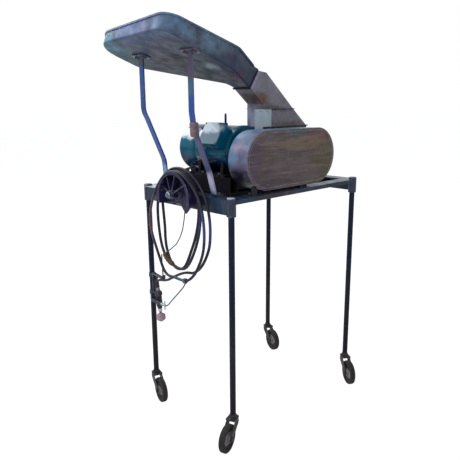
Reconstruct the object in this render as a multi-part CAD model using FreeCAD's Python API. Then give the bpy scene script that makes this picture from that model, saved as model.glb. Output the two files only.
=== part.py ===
import FreeCAD, Part
import math
import os

# Flexible-shaft machine on a castered stand, in millimetres, +Z up.
# The sizes below are written in the stand's own frame: zero on the floor under the front left
# leg, X along the front rail, Y towards the back. The finished model is moved so that its
# origin is on the floor, at the middle of its box.

V = FreeCAD.Vector

# Clearances
running_gap = 0.05      # radial, shaft in bearing or stem in pipe
side_gap = 0.3          # between faces that turn past each other
tack_gap = 0.1          # a pipe in the socket that it is welded into
bolt_gap = 0.25         # radial, bolt in its hole

# Stand
legs_across = 680.0
legs_deep = 458.0
rail_top = 900.0
rail_outset = 16.0
angle_leg = 50.0
long_rail_web = 15.0
angle_wall = 5.0
leg_diameter = 21.0
leg_wall = 2.5
leg_bottom = 134.0
socket_diameter = 32.0
socket_above = 7.0
socket_below = 6.0
socket_cap = 4.0
bearer_width = 40.0
bearer_height = 30.0
box_wall = 3.0
bearer_ys = (135.0, 300.0)
pedestal_width = 40.0
pedestal_height = 55.0
pedestal_start = 100.0
pedestal_length = 245.0

# Casters
floor_level = 14.0
wheel_diameter = 100.0
tyre_width = 21.0
wheel_hub_width = 29.2
wheel_hub_radius = 13.0
caster_trail = 48.0
caster_axle_radius = 5.0
fork_wall = 3.0
fork_top = 122.0
stem_length = 60.0
corners = {
    # name: (right side, back side, heading of the trailing wheel in degrees)
    "front_left": (False, False, -160.0),
    "front_right": (True, False, -122.0),
    "back_left": (False, True, -105.0),
    "back_right": (True, True, -107.0),
}

# Motor, its axis along Y
motor_x = 180.0
shaft_height = 90.0
motor_radius = 85.0
shell_wall = 6.0
shell_start = 118.0
shell_length = 184.0
shield_depth = 14.0
cowl_length = 81.0
cowl_wall = 1.5
motor_shaft_radius = 9.5
seat_radius = 10.0
bearing_radius = 23.5
bearing_width = 14.0
rotor_core_radius = 47.5
air_gap = 0.5
core_length = 116.0
winding_length = 20.0
fan_radius = 70.0
foot_spread = 140.0
foot_pitch = 90.0
foot_thickness = 8.0
terminal_angle = 60.0
terminal_start = 130.0
terminal_length = 92.0
terminal_width = 80.0
terminal_height = 34.0
lid_thickness = 6.0
gland_bore_radius = 4.5
gland_length = 26.0
eye_y = 215.0
eye_radius = 14.0
eye_wire = 4.0

# Belt drive
driven_x = 440.0
motor_pulley_pitch = 50.0
driven_pulley_pitch = 40.0
belt_top_width = 13.0
belt_height = 8.0
belt_above_pitch = 3.0
belt_half_angle = 19.0
belt_plane = 45.0
pulley_face = 20.0
spindle_radius = 10.0

# Belt guard
guard_left = 72.0
guard_radius = 100.0
guard_length = 468.0
guard_lift = 12.0
guard_depth = 87.0
guard_sheet = 1.5
guard_plate = 2.0
rim_width = 8.0
rim_height = 3.0
guard_foot_xs = (110.0, 363.0)
guard_foot_width = 26.0
guard_foot_depth = 33.0

# Casing, rotor and coupling
casing_left = 285.0
casing_right = 512.0
chute_front = 110.0
chute_width = 80.0
casing_wall = 3.0
casing_above_axis = 78.0
casing_flange = 4.0
rotor_radius = 64.0
outlet_sill = 12.0
outlet_height = 50.0
coupling_end = 262.0
coupling_nut = 22.0

# Chute
sheet = 1.5
chute_base_height = 64.0
seam_right = 428.0
chute_left = 266.0
chute_base_right = 508.0
chute_fall = 0.80
seam_lip = 6.0

# Chute mouth, as distance along X and height above the seam
mouth_low = (199.0, 70.7)
mouth_high = (238.0, 129.0)
mouth_crown = (281.0, 124.0)

bracket_left = 222.0
bracket_right = 306.0
bracket_drop = 24.0
bracket_sheet = 3.0

# Tray
tray_slope = 20.5
tray_end_near = 442.0
tray_end_far = 408.0
tray_near = 45.0
tray_far = 478.0
tray_near_taper = 151.0
tray_flare_start = 39.0
tray_flare_end = 214.0
tray_wall = 74.0
tray_wall_end_near = 53.0
tray_wall_end_far = 40.0
tray_corner = 46.0
tray_far_corner = 100.0
tray_bend = 7.0
tray_side_rounds = (90.0, 50.0, 18.0)
bead_width = 3.0
bead_height = 6.0

# Struts
strut_ys = (85.0, 343.0)
strut_width = 22.0
strut_thickness = 6.0
strut_knees = ([(-16, 80), (-77, 222)], [(-5, 105), (-71, 252)])
strut_straight = 278.0
strut_lean = 85.0
strut_foot = 33.0
cleat_length = 70.0
cleat_width = 34.0
cleat_thickness = 5.0
cleat_bolt_spread = 44.0

# Bolts, all M8
bolt_radius = 4.0
bolt_across_flats = 13.0
bolt_head = 5.3
bolt_nut = 6.5

# Hanger saddle on the left rail, its bolt along X
hanger_y = 222.0
hanger_drop = 10.0
hanger_flange_radius = 88.0
hanger_barrel_radius = 82.0
hanger_rim = 5.0
hanger_face = 43.0
hanger_stand_off = 8.0
hanger_flange = 3.0
hanger_hub_radius = 26.0
hanger_hub_shift = (22.0, 6.0)
hanger_skirt = 28.0
hanger_ribs = (-62.0, -20.0, 20.0, 62.0)
hanger_bolt_radius = 8.0

# Flexible shaft
shaft_diameter = 10.0
strand_gap = 1.4
tether_diameter = 5.0
sleeve_wall = 3.8
sleeve_start = 30.0
sleeve_length = 60.0

# Handpiece, hung with a slight tilt on the back left leg
hand_from_leg = 33.0
hand_below_rail = 401.0
hand_tilt = 7.0
grip_radius = 12.5
grip_bore = 8.0
ferrule_length = 14.0
grip_length = 72.0
hand_spindle_radius = 3.5
chuck_length = 17.0
stone_radius = 18.0
stone_shank = 1.5
clip_wall = 2.5
clip_arm_above = 51.0
clip_arm_length = 60.0
key_length = 26.0

axis_z = rail_top - angle_wall + pedestal_height + shaft_height
leg_radius = leg_diameter / 2
leg_bore = leg_radius - leg_wall
socket_radius = socket_diameter / 2
pedestal_top = rail_top - angle_wall + pedestal_height
pedestal_xs = (motor_x - foot_spread / 2, motor_x + foot_spread / 2, casing_left + 25, casing_right - 22)
rail_face = -rail_outset
flange_edge = angle_leg - rail_outset
hanger_face_x = rail_face - hanger_stand_off
guard_bottom = rail_top + guard_lift
guard_z = guard_bottom + guard_radius
chute_back = chute_front + chute_width
casing_mid_y = chute_front + chute_width / 2
cord_radius = shaft_diameter / 2
casing_top = axis_z + casing_above_axis
seam_height = casing_top + chute_base_height
chute_low = (mouth_low[0], seam_height + mouth_low[1])
chute_high = (mouth_high[0], seam_height + mouth_high[1])
chute_crown = (mouth_crown[0], seam_height + mouth_crown[1])
bracket_low = casing_top - bracket_drop
hanger_z = rail_top - hanger_drop
hand_place = (0.0, legs_deep - hand_from_leg, rail_top - hand_below_rail)


def box(x0, x1, y0, y1, z0, z1):
    return Part.makeBox(x1 - x0, y1 - y0, z1 - z0, V(x0, y0, z0))


def rod(radius, start, end):
    a = V(*start)
    b = V(*end)
    return Part.makeCylinder(radius, (b - a).Length, a, b - a)


def tube(outer, inner, start, end):
    return rod(outer, start, end).cut(rod(inner, start, end))


def fuse(pieces):
    first = pieces[0]
    return first.fuse(list(pieces[1:])).removeSplitter() if len(pieces) > 1 else first


def outline(corner_list, place):
    """Closed wire through corners (u, v) or (u, v, radius); place turns (u, v) into a point."""
    count = len(corner_list)
    starts = []
    ends = []
    mids = []
    for i, corner in enumerate(corner_list):
        here = V(corner[0], corner[1], 0)
        radius = corner[2] if len(corner) > 2 else 0
        if not radius:
            starts.append(here)
            ends.append(here)
            mids.append(None)
            continue
        before = V(*corner_list[i - 1][:2], 0) - here
        after = V(*corner_list[(i + 1) % count][:2], 0) - here
        before.normalize()
        after.normalize()
        half = before.getAngle(after) / 2
        cut = radius / math.tan(half)
        bisector = before + after
        bisector.normalize()
        centre = here + bisector * (radius / math.sin(half))
        starts.append(here + before * cut)
        ends.append(here + after * cut)
        mids.append(centre - bisector * radius)
    edges = []
    for i in range(count):
        if mids[i] is not None:
            arc = Part.Arc(*(place(p.x, p.y) for p in (starts[i], mids[i], ends[i])))
            edges.append(arc.toShape())
        a = ends[i]
        b = starts[(i + 1) % count]
        if (b - a).Length > 1e-6:
            edges.append(Part.makeLine(place(a.x, a.y), place(b.x, b.y)))
    return Part.Wire(edges)


def in_xz(y):
    return lambda u, v: V(u, y, v)


def in_xy(z):
    return lambda u, v: V(u, v, z)


def prism(wire, direction):
    return Part.Face(wire).extrude(V(*direction))


def turned(profile, base, axis):
    """Solid of revolution: profile corners are (radius, distance along the axis)."""
    base = V(*base)
    axis = V(*axis)
    across = axis.cross(V(0, 0, 1)) if abs(axis.z) < 0.5 else V(1, 0, 0)
    across.normalize()
    wire = outline(profile, lambda r, a: base + across * r + axis * a)
    return Part.Face(wire).revolve(base, axis, 360)


def belt_round(c0, r0, c1, r1, place):
    """Closed outline round two circles, as a belt lies: two straights and two arcs."""
    a = V(c0[0], c0[1], 0)
    b = V(c1[0], c1[1], 0)
    along = b - a
    length = along.Length
    along.normalize()
    side = V(-along.y, along.x, 0)
    cos_lift = (r0 - r1) / length
    sin_lift = math.sqrt(1 - cos_lift ** 2)
    up = along * cos_lift + side * sin_lift
    down = along * cos_lift - side * sin_lift
    points = [a + up * r0, b + up * r1, b + along * r1, b + down * r1, a + down * r0, a - along * r0]
    p = [place(q.x, q.y) for q in points]
    return Part.Wire([
        Part.makeLine(p[0], p[1]),
        Part.Arc(p[1], p[2], p[3]).toShape(),
        Part.makeLine(p[3], p[4]),
        Part.Arc(p[4], p[5], p[0]).toShape(),
    ])


def rounded_path(points, radii):
    """Open wire of straight runs through points, with an arc of the given radius at each bend."""
    pts = [V(*p) for p in points]
    edges = []
    last = pts[0]
    for i in range(1, len(pts) - 1):
        back = pts[i - 1] - pts[i]
        ahead = pts[i + 1] - pts[i]
        back.normalize()
        ahead.normalize()
        half = back.getAngle(ahead) / 2
        cut = radii[i - 1] / math.tan(half)
        middle = back + ahead
        middle.normalize()
        centre = pts[i] + middle * (radii[i - 1] / math.sin(half))
        start = pts[i] + back * cut
        if (start - last).Length > 1e-6:
            edges.append(Part.makeLine(last, start))
        end = pts[i] + ahead * cut
        edges.append(Part.Arc(start, centre - middle * radii[i - 1], end).toShape())
        last = end
    edges.append(Part.makeLine(last, pts[-1]))
    return Part.Wire(edges)


def swept_circle(path, radius):
    start = path.Edges[0]
    tangent = start.tangentAt(start.FirstParameter)
    circle = Part.Wire([Part.makeCircle(radius, start.valueAt(start.FirstParameter), tangent)])
    return path.makePipeShell([circle], True, False)


def bent_bar(points, bends, thickness, width, y):
    """Flat bar bent in the XZ plane: points of its middle line, an arc at each bend, width along Y."""
    path = rounded_path([(x, y, z) for x, z in points], bends)
    start = path.Edges[0]
    origin = start.valueAt(start.FirstParameter)
    along = start.tangentAt(start.FirstParameter)
    normal = along.cross(V(0, 1, 0))
    half = V(0, width / 2, 0)
    lift = normal * (thickness / 2)
    corner_points = [origin - half - lift, origin + half - lift, origin + half + lift, origin - half + lift]
    section = Part.makePolygon(corner_points + corner_points[:1])
    return path.makePipeShell([section], True, False)


def leg_place(right, back):
    return (legs_across if right else 0.0), (legs_deep if back else 0.0)


def bolt(head_face, direction, grip):
    """M8 bolt: hexagon head on head_face, shank through the grip, nut on the far side."""
    at = V(*head_face)
    down = V(*direction)
    down.normalize()
    across = V(0, 1, 0) if abs(down.y) < 0.9 else V(1, 0, 0)
    third = down.cross(across)
    point_radius = bolt_across_flats / math.sqrt(3)

    def hexagon(start, height):
        ring = []
        for k in range(7):
            turn = math.radians(60 * k)
            ring.append(start + across * (point_radius * math.cos(turn)) + third * (point_radius * math.sin(turn)))
        return Part.Face(Part.makePolygon(ring)).extrude(down * height)

    head = hexagon(at - down * bolt_head, bolt_head)
    nut = hexagon(at + down * grip, bolt_nut)
    shank = Part.makeCylinder(bolt_radius, grip + bolt_nut + 2, at, down)
    return head.fuse([shank, nut])


parts = {}
bolts = []
bolt_holes = []


def bolt_on(head_face, direction, grip):
    """Adds a bolt, and the hole for it that the pieces it clamps are cut with."""
    bolts.append(bolt(head_face, direction, grip))
    at = V(*head_face)
    down = V(*direction)
    down.normalize()
    hole = Part.makeCylinder(bolt_radius + bolt_gap, grip + 2 * bolt_nut, at - down * bolt_head, down)
    bolt_holes.append(hole)
    return hole


# Stand
def angle_rail(flange_corners, web):
    flange = prism(outline(flange_corners, in_xy(rail_top - angle_wall)), (0, 0, angle_wall))
    return flange.fuse(web)


def rails():
    """Front, back, left and right rail, mitred on the leg axes and cut to the round sockets."""
    w = legs_across
    d = legs_deep
    o = rail_outset
    f = flange_edge
    t = angle_wall
    low = rail_top - angle_leg
    low_long = rail_top - long_rail_web
    top = rail_top - angle_wall / 2
    front = angle_rail([(0, -o), (w, -o), (w, 0), (w - f, f), (f, f), (0, 0)],
                       box(0, w, -o, t - o, low_long, top))
    back = angle_rail([(0, d + o), (0, d), (f, d - f), (w - f, d - f), (w, d), (w, d + o)],
                      box(0, w, d + o - t, d + o, low_long, top))
    left = angle_rail([(-o, 0), (0, 0), (f, f), (f, d - f), (0, d), (-o, d)],
                      box(-o, t - o, 0, d, low, top))
    right = angle_rail([(w + o, 0), (w, 0), (w - f, f), (w - f, d - f), (w, d), (w + o, d)],
                       box(w + o - t, w + o, 0, d, low, top))
    posts = [rod(socket_radius, (*leg_place(r, b), low - 50), (*leg_place(r, b), rail_top + 50))
             for r, b, _ in corners.values()]
    return [rail.cut(posts) for rail in (front, back, left, right)]


def corner_socket(x, y):
    bore = leg_radius + tack_gap
    low = rail_top - angle_leg - socket_below
    top = rail_top + socket_above
    profile = [(bore, low), (socket_radius, low, 1.5), (socket_radius, top, 5), (0, top),
               (0, top - socket_cap), (bore, top - socket_cap)]
    return turned(profile, (x, y, 0), (0, 0, 1))


def stand():
    front, back, left, right = rails()
    for y in strut_ys:
        hole = bolt_on((strut_foot - 11, y, rail_top + strut_thickness), (0, 0, -1),
                       strut_thickness + angle_wall)
        left = left.cut(hole)
    for x in guard_foot_xs:
        hole = bolt_on((x, guard_foot_depth - 11, rail_top + guard_plate), (0, 0, -1),
                       guard_plate + angle_wall)
        front = front.cut(hole)
    parts["long_rails"] = Part.makeCompound([front, back])
    parts["short_rails"] = Part.makeCompound([left, right])
    sockets = []
    legs = []
    for right_side, back_side, _ in corners.values():
        x, y = leg_place(right_side, back_side)
        sockets.append(corner_socket(x, y))
        leg_top = rail_top + socket_above - socket_cap - tack_gap
        legs.append(tube(leg_radius, leg_bore, (x, y, leg_bottom), (x, y, leg_top)))
    parts["corner_sockets"] = Part.makeCompound(sockets)
    parts["legs"] = Part.makeCompound(legs)
    under_flange = rail_top - angle_wall
    bearers = []
    for y in bearer_ys:
        half = bearer_width / 2
        left_end = rail_face + angle_wall
        outer = box(left_end, legs_across - left_end, y - half, y + half,
                    under_flange - bearer_height, under_flange)
        inner = box(left_end - 1, legs_across - left_end + 1, y - half + box_wall, y + half - box_wall,
                    under_flange - bearer_height + box_wall, under_flange - box_wall)
        bearers.append(outer.cut(inner))
    parts["cross_bearers"] = Part.makeCompound(bearers)


def pedestals(holes):
    sections = []
    start = pedestal_start
    end = start + pedestal_length
    low = rail_top - angle_wall
    for x in pedestal_xs:
        half = pedestal_width / 2
        outer = box(x - half, x + half, start, end, low, pedestal_top)
        inner = box(x - half + box_wall, x + half - box_wall, start - 1, end + 1, low + box_wall,
                    pedestal_top - box_wall)
        sections.append(outer.cut([inner] + holes))
    parts["pedestal_rails"] = Part.makeCompound(sections)


# Casters
def caster(name, right_side, back_side, heading):
    x, y = leg_place(right_side, back_side)
    wheel_radius = wheel_diameter / 2
    axle_z = floor_level + wheel_radius
    cheek_in = wheel_hub_width / 2 + side_gap
    cheek_out = cheek_in + fork_wall
    crown_low = fork_top - 4
    cheek = belt_round((4, fork_top - 14), 14, (caster_trail, axle_z), 11, in_xz(0))
    cheeks = [prism(cheek, (0, fork_wall, 0)) for _ in range(2)]
    cheeks[0].translate(V(0, cheek_in, 0))
    cheeks[1].translate(V(0, -cheek_out, 0))
    crown = prism(outline([(-18, -cheek_out, 9), (26, -cheek_out, 4), (26, cheek_out, 4), (-18, cheek_out, 9)],
                          in_xy(crown_low)), (0, 0, fork_top - crown_low))
    boss = turned([(0, fork_top - 2), (15, fork_top - 2), (14, fork_top + 6, 2), (11.5, leg_bottom - side_gap),
                   (0, leg_bottom - side_gap)], (0, 0, 0), (0, 0, 1))
    stem = rod(leg_bore - running_gap, (0, 0, fork_top), (0, 0, leg_bottom + stem_length))
    axle = rod(caster_axle_radius, (caster_trail, -cheek_out - 1, axle_z), (caster_trail, cheek_out + 1, axle_z))
    heads = [turned([(0, 0), (9, 0), (9, 3, 1), (6, 5, 1), (0, 5)],
                    (caster_trail, side * cheek_out, axle_z), (0, side, 0)) for side in (-1, 1)]
    fork = fuse(cheeks + [crown, boss, stem, axle] + heads)
    tread = tyre_width / 2
    bore = caster_axle_radius + running_gap
    hub = wheel_hub_width / 2
    wheel = turned([(bore, -hub), (wheel_hub_radius, -hub, 1), (wheel_hub_radius, -5, 2), (36, -5, 2),
                    (39, -tread, 1), (wheel_radius, -tread, 5), (wheel_radius, tread, 5), (39, tread, 1),
                    (36, 5, 2), (wheel_hub_radius, 5, 2), (wheel_hub_radius, hub, 1), (bore, hub)],
                   (caster_trail, 0, axle_z), (0, 1, 0))
    for key, shape in (("caster_fork_", fork), ("caster_wheel_", wheel)):
        shape.rotate(V(0, 0, 0), V(0, 0, 1), heading)
        shape.translate(V(x, y, 0))
        parts[key + name] = shape


# Motor
def motor():
    x = motor_x
    start = shell_start
    end = start + shell_length
    inner = motor_radius - shell_wall
    parts["motor_shell"] = tube(motor_radius, inner, (x, start, axis_z), (x, end, axis_z))
    bore = bearing_radius + running_gap / 2
    depth = shield_depth
    seat = motor_radius + 1 - cowl_wall - tack_gap
    shield = [(motor_shaft_radius + 2, -depth + 2), (30, -depth + 2, 2), (34, -6, 4), (seat, -6, 1), (seat, -2),
              (motor_radius + 1, -2, 0.5), (motor_radius + 1, 1.5), (motor_radius + 0.05, 1.5),
              (motor_radius + 0.05, 0),
              (inner - running_gap, 0), (inner - running_gap, 8), (inner - 8, 8), (inner - 8, 2),
              (bearing_radius + 6, 2), (bearing_radius + 6, 6), (bore, 6), (bore, -depth + 6),
              (motor_shaft_radius + 2, -depth + 6)]
    front = turned(shield, (x, start, axis_z), (0, 1, 0))
    rear = turned(shield, (x, end, axis_z), (0, -1, 0))
    cowl_start = end + 2 + tack_gap
    parts["motor_front_shield"] = front
    parts["motor_rear_shield"] = rear
    bearing = [(motor_shaft_radius + 0.5 + running_gap, 0), (bearing_radius, 0, 1),
               (bearing_radius, bearing_width, 1), (motor_shaft_radius + 0.5 + running_gap, bearing_width)]
    near = start - depth + 6 + 0.2
    far = end + depth - 6 - 0.2 - bearing_width
    parts["motor_bearings"] = Part.makeCompound(
        [turned(bearing, (x, near, axis_z), (0, 1, 0)), turned(bearing, (x, far, axis_z), (0, 1, 0))])
    cowl_end = cowl_start + cowl_length
    r = motor_radius + 1
    cowl = turned([(r - cowl_wall, 0), (r, 0), (r, cowl_length, 12), (0, cowl_length),
                   (0, cowl_length - cowl_wall), (r - cowl_wall, cowl_length - cowl_wall, 10.5)],
                  (x, cowl_start, axis_z), (0, 1, 0))
    slots = []
    for k in range(10):
        slot = box(-2.5, 2.5, cowl_end - 5, cowl_end + 1, 24, 60)
        slot.rotate(V(0, 0, 0), V(0, 1, 0), 36 * k)
        slot.translate(V(x, 0, axis_z))
        slots.append(slot)
    parts["motor_fan_cowl"] = cowl.cut(slots)
    mid = (start + end) / 2
    core = tube(inner - running_gap, rotor_core_radius + air_gap, (x, mid - core_length / 2, axis_z),
                (x, mid + core_length / 2, axis_z))
    winding = [(52, 0), (70, 0), (70, winding_length, 6), (52, winding_length, 6)]
    heads = [turned(winding, (x, mid - side * core_length / 2, axis_z), (0, -side, 0)) for side in (-1, 1)]
    parts["motor_stator"] = fuse([core] + heads)
    shaft_front = belt_plane - pulley_face
    fan_at = end + shield_depth + 6
    shaft = turned([(0, shaft_front), (motor_shaft_radius, shaft_front, 1), (motor_shaft_radius, near - 6),
                    (motor_shaft_radius + 0.5, near - 6), (motor_shaft_radius + 0.5, near + bearing_width),
                    (12, near + bearing_width), (12, far), (motor_shaft_radius + 0.5, far),
                    (motor_shaft_radius + 0.5, fan_at), (motor_shaft_radius - 2, fan_at),
                    (motor_shaft_radius - 2, fan_at + 24), (0, fan_at + 24)], (x, 0, axis_z), (0, 1, 0))
    rotor = turned([(0, mid - core_length / 2), (rotor_core_radius, mid - core_length / 2, 1),
                    (rotor_core_radius, mid + core_length / 2, 1), (0, mid + core_length / 2)],
                   (x, 0, axis_z), (0, 1, 0))
    parts["motor_rotor"] = shaft.fuse(rotor)
    hub = tube(14, motor_shaft_radius - 2, (x, fan_at, axis_z), (x, fan_at + 22, axis_z))
    disc = tube(fan_radius - 20, 13, (x, fan_at, axis_z), (x, fan_at + 3, axis_z))
    blades = []
    for k in range(7):
        blade = box(-1.5, 1.5, fan_at, fan_at + 22, 12, fan_radius)
        blade.rotate(V(0, 0, 0), V(0, 1, 0), 360 / 7 * k)
        blade.translate(V(x, 0, axis_z))
        blades.append(blade)
    parts["motor_fan"] = fuse([hub, disc] + blades)
    motor_feet(x, mid)
    terminal(x, terminal_start + terminal_length / 2)


def motor_feet(x, mid):
    low = pedestal_top
    reach = foot_spread / 2 + pedestal_width / 2
    plate = prism(outline([(x - reach, mid - 80, 8), (x + reach, mid - 80, 8), (x + reach, mid + 80, 8),
                           (x - reach, mid + 80, 8)], in_xy(low)), (0, 0, foot_thickness))
    ribs = []
    for side in (-1, 1):
        rib = outline([(x + side * 84, low), (x + side * 20, low), (x + side * 20, low + 26),
                       (x + side * 74, axis_z - 38), (x + side * 80, axis_z - 38)], in_xz(mid - 66))
        ribs.append(prism(rib, (0, 12, 0)))
        again = prism(rib, (0, 12, 0))
        again.translate(V(0, 120, 0))
        ribs.append(again)
    body = fuse([plate] + ribs).cut(rod(motor_radius, (x, 0, axis_z), (x, 400, axis_z)))
    holes = []
    for side in (-1, 1):
        for shift in (-foot_pitch / 2, foot_pitch / 2):
            at = (x + side * foot_spread / 2 + side * 8, mid + shift, low + foot_thickness)
            holes.append(bolt_on(at, (0, 0, -1), foot_thickness + box_wall))
    slots = []
    for hole in holes:
        for shift in (-6, 6):
            wide = hole.copy()
            wide.translate(V(shift, 0, 0))
            slots.append(wide)
    parts["motor_foot_base"] = body.cut(holes + slots)


def terminal(x, mid):
    """Terminal box on the motor's upper left side, modelled on top and then turned there."""
    half_l = terminal_length / 2
    half_w = terminal_width / 2
    top = motor_radius + terminal_height
    low = motor_radius - 12
    outer = prism(outline([(-half_w, -half_l, 8), (half_w, -half_l, 8), (half_w, half_l, 8), (-half_w, half_l, 8)],
                          in_xy(low)), (0, 0, top - low))
    inner = prism(outline([(-half_w + 4, -half_l + 4, 5), (half_w - 4, -half_l + 4, 5),
                           (half_w - 4, half_l - 4, 5), (-half_w + 4, half_l - 4, 5)], in_xy(motor_radius + 4)),
                  (0, 0, top))
    lid = prism(outline([(-half_w - 2, -half_l - 2, 9), (half_w + 2, -half_l - 2, 9),
                         (half_w + 2, half_l + 2, 9), (-half_w - 2, half_l + 2, 9)], in_xy(top)),
                (0, 0, lid_thickness))
    lid = lid.makeFillet(2.5, [e for e in lid.Edges if e.BoundBox.ZMin > top + lid_thickness - 0.01])
    gland_u = half_w - 13
    gland_h = top - 13
    gland = turned([(gland_bore_radius, 0), (10, 0), (10, 3), (12, 3, 0.5), (12, 12, 1), (9, 13), (9, 17),
                    (10.5, 17, 1), (10.5, gland_length - 3, 3), (7, gland_length), (gland_bore_radius, gland_length)],
                   (gland_u, half_l, gland_h), (0, 1, 0))
    entry = rod(gland_bore_radius + 2, (gland_u, half_l - 10, gland_h), (gland_u, half_l + 1, gland_h))
    body = outer.cut([inner, rod(motor_radius, (0, -200, 0), (0, 200, 0)), entry])
    for node, shape in (("terminal_box", body), ("terminal_lid", lid), ("cable_gland", gland)):
        shape.rotate(V(0, 0, 0), V(0, 1, 0), -terminal_angle)
        shape.translate(V(x, mid, axis_z))
        parts[node] = shape
    eye_base = axis_z + motor_radius
    collar = rod(8, (0, 0, motor_radius - 3), (0, 0, motor_radius + 8))
    ring = Part.makeTorus(eye_radius, eye_wire, V(0, 0, motor_radius + 8 + eye_radius + eye_wire - 2), V(1, 0, 0))
    eye = collar.fuse(ring)
    eye.rotate(V(0, 0, 0), V(0, 0, 1), -44)
    eye = eye.cut(rod(motor_radius, (0, -20, 0), (0, 20, 0)))
    eye.translate(V(x, eye_y, eye_base - motor_radius))
    parts["lifting_eye"] = eye


# Belt drive
def groove_profile(pitch_radius, bore, hub_radius, hub_start, hub_end):
    """Half section of a one-groove pulley: (radius, distance along the shaft)."""
    outer = pitch_radius + belt_above_pitch + 0.6
    slope = math.tan(math.radians(belt_half_angle))
    half_top = belt_top_width / 2 + side_gap + 0.6 * slope
    depth = belt_height + 4
    half_bottom = half_top - depth * slope
    half = pulley_face / 2
    mid = belt_plane
    return [(bore, hub_start), (hub_radius, hub_start, 1), (hub_radius, mid - 4, 1), (outer - 16, mid - 4, 2),
            (outer - 15, mid - half, 1), (outer, mid - half, 1), (outer, mid - half_top),
            (outer - depth, mid - half_bottom), (outer - depth, mid + half_bottom), (outer, mid + half_top),
            (outer, mid + half, 1), (outer - 15, mid + half, 1), (outer - 16, mid + 4, 2),
            (hub_radius, mid + 4, 1), (hub_radius, hub_end, 1), (bore, hub_end)]


def belt_drive():
    hub_start = belt_plane - pulley_face + 3
    hub_end = belt_plane + 24
    motor_profile = groove_profile(motor_pulley_pitch, motor_shaft_radius + 0.02, 20, hub_start, hub_end)
    parts["motor_pulley"] = turned(motor_profile, (motor_x, 0, axis_z), (0, 1, 0))
    driven_profile = groove_profile(driven_pulley_pitch, spindle_radius + 0.02, 18, hub_start, hub_end)
    parts["driven_pulley"] = turned(driven_profile, (driven_x, 0, axis_z), (0, 1, 0))
    inner = belt_height - belt_above_pitch
    path = belt_round((motor_x, axis_z), motor_pulley_pitch - inner, (driven_x, axis_z),
                      driven_pulley_pitch - inner, in_xz(belt_plane))
    start = path.Edges[0]
    origin = start.valueAt(start.FirstParameter)
    tangent = start.tangentAt(start.FirstParameter)
    out = V(0, 1, 0).cross(tangent)
    if (origin - V(motor_x, belt_plane, axis_z)).dot(out) < 0:
        out = out * -1
    half_top = belt_top_width / 2
    half_low = half_top - belt_height * math.tan(math.radians(belt_half_angle))
    section = [V(0, -half_low, 0), V(0, half_low, 0), V(0, half_top, 0), V(0, -half_top, 0)]
    heights = [0, 0, belt_height, belt_height]
    ring = [origin + s + out * h for s, h in zip(section, heights)]
    parts["v_belt"] = path.makePipeShell([Part.makePolygon(ring + ring[:1])], True, True)


def guard():
    left = (guard_left + guard_radius, guard_z)
    right = (guard_left + guard_length - guard_radius, guard_z)

    def stadium(radius, y, depth):
        return prism(belt_round(left, radius, right, radius, in_xz(y)), (0, depth, 0))

    band = stadium(guard_radius, guard_plate, guard_depth - guard_plate).cut(
        stadium(guard_radius - guard_sheet, guard_plate, guard_depth))
    feet = []
    half = guard_foot_width / 2
    for x in guard_foot_xs:
        end = guard_foot_depth
        shape = [(4, rail_top), (end, rail_top), (end, rail_top + guard_plate),
                 (4 + guard_plate, rail_top + guard_plate), (4 + guard_plate, guard_bottom + 0.7),
                 (4, guard_bottom + 0.7)]
        foot = Part.makePolygon([V(x - half, y, z) for y, z in shape + shape[:1]])
        feet.append(Part.Face(foot).extrude(V(guard_foot_width, 0, 0)))
    lift = []
    for x in guard_foot_xs:
        low = stadium(guard_radius + 60, -10, 200).cut(stadium(guard_radius - 0.5, -10, 200))
        lift.append(low.common(box(x - half, x + half, 4, 4 + guard_plate, guard_bottom, guard_bottom + 20)))
    solid_feet = [foot.fuse(tab) for foot, tab in zip(feet, lift)]
    band = fuse([band] + solid_feet)
    parts["guard_band"] = band.cut(bolt_holes)
    face = stadium(guard_radius, 0, guard_plate)
    rim = stadium(guard_radius + 0.8, -rim_height, rim_height + guard_plate).cut(
        stadium(guard_radius - rim_width, -rim_height - 1, rim_height + guard_plate + 1))
    rim = rim.cut(stadium(guard_radius, 0, guard_plate + 1))
    screw_places = []
    inset = guard_radius - rim_width - 9
    for centre, turns in ((left, (90, 180, 270)), (right, (90, 0, 270))):
        for turn in turns:
            a = math.radians(turn)
            screw_places.append((centre[0] + inset * math.cos(a), centre[1] + inset * math.sin(a)))
    middle = (left[0] + right[0]) / 2
    screw_places += [(middle, guard_z + inset), (middle, guard_z - inset)]
    holes = [rod(2.75, (x, -1, z), (x, guard_plate + 1, z)) for x, z in screw_places]
    parts["guard_front_plate"] = fuse([face, rim]).cut(holes)
    screw = [(0, -2.6), (3.2, -2.6, 0.8), (4.6, 0), (2.5, 0), (2.5, guard_plate + 8), (0, guard_plate + 8)]
    parts["guard_screws"] = Part.makeCompound([turned(screw, (x, 0, z), (0, 1, 0)) for x, z in screw_places])
    back_plate = stadium(guard_radius, guard_depth, guard_plate)
    motor_hole = rod(20, (motor_x, guard_depth - 1, axis_z), (motor_x, guard_depth + 5, axis_z))
    tension = [motor_hole.copy() for _ in range(2)]
    tension[0].translate(V(-10, 0, 0))
    tension[1].translate(V(10, 0, 0))
    spindle_hole = rod(20, (driven_x, guard_depth - 1, axis_z), (driven_x, guard_depth + 5, axis_z))
    parts["guard_back_plate"] = back_plate.cut([motor_hole, spindle_hole] + tension)


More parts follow.
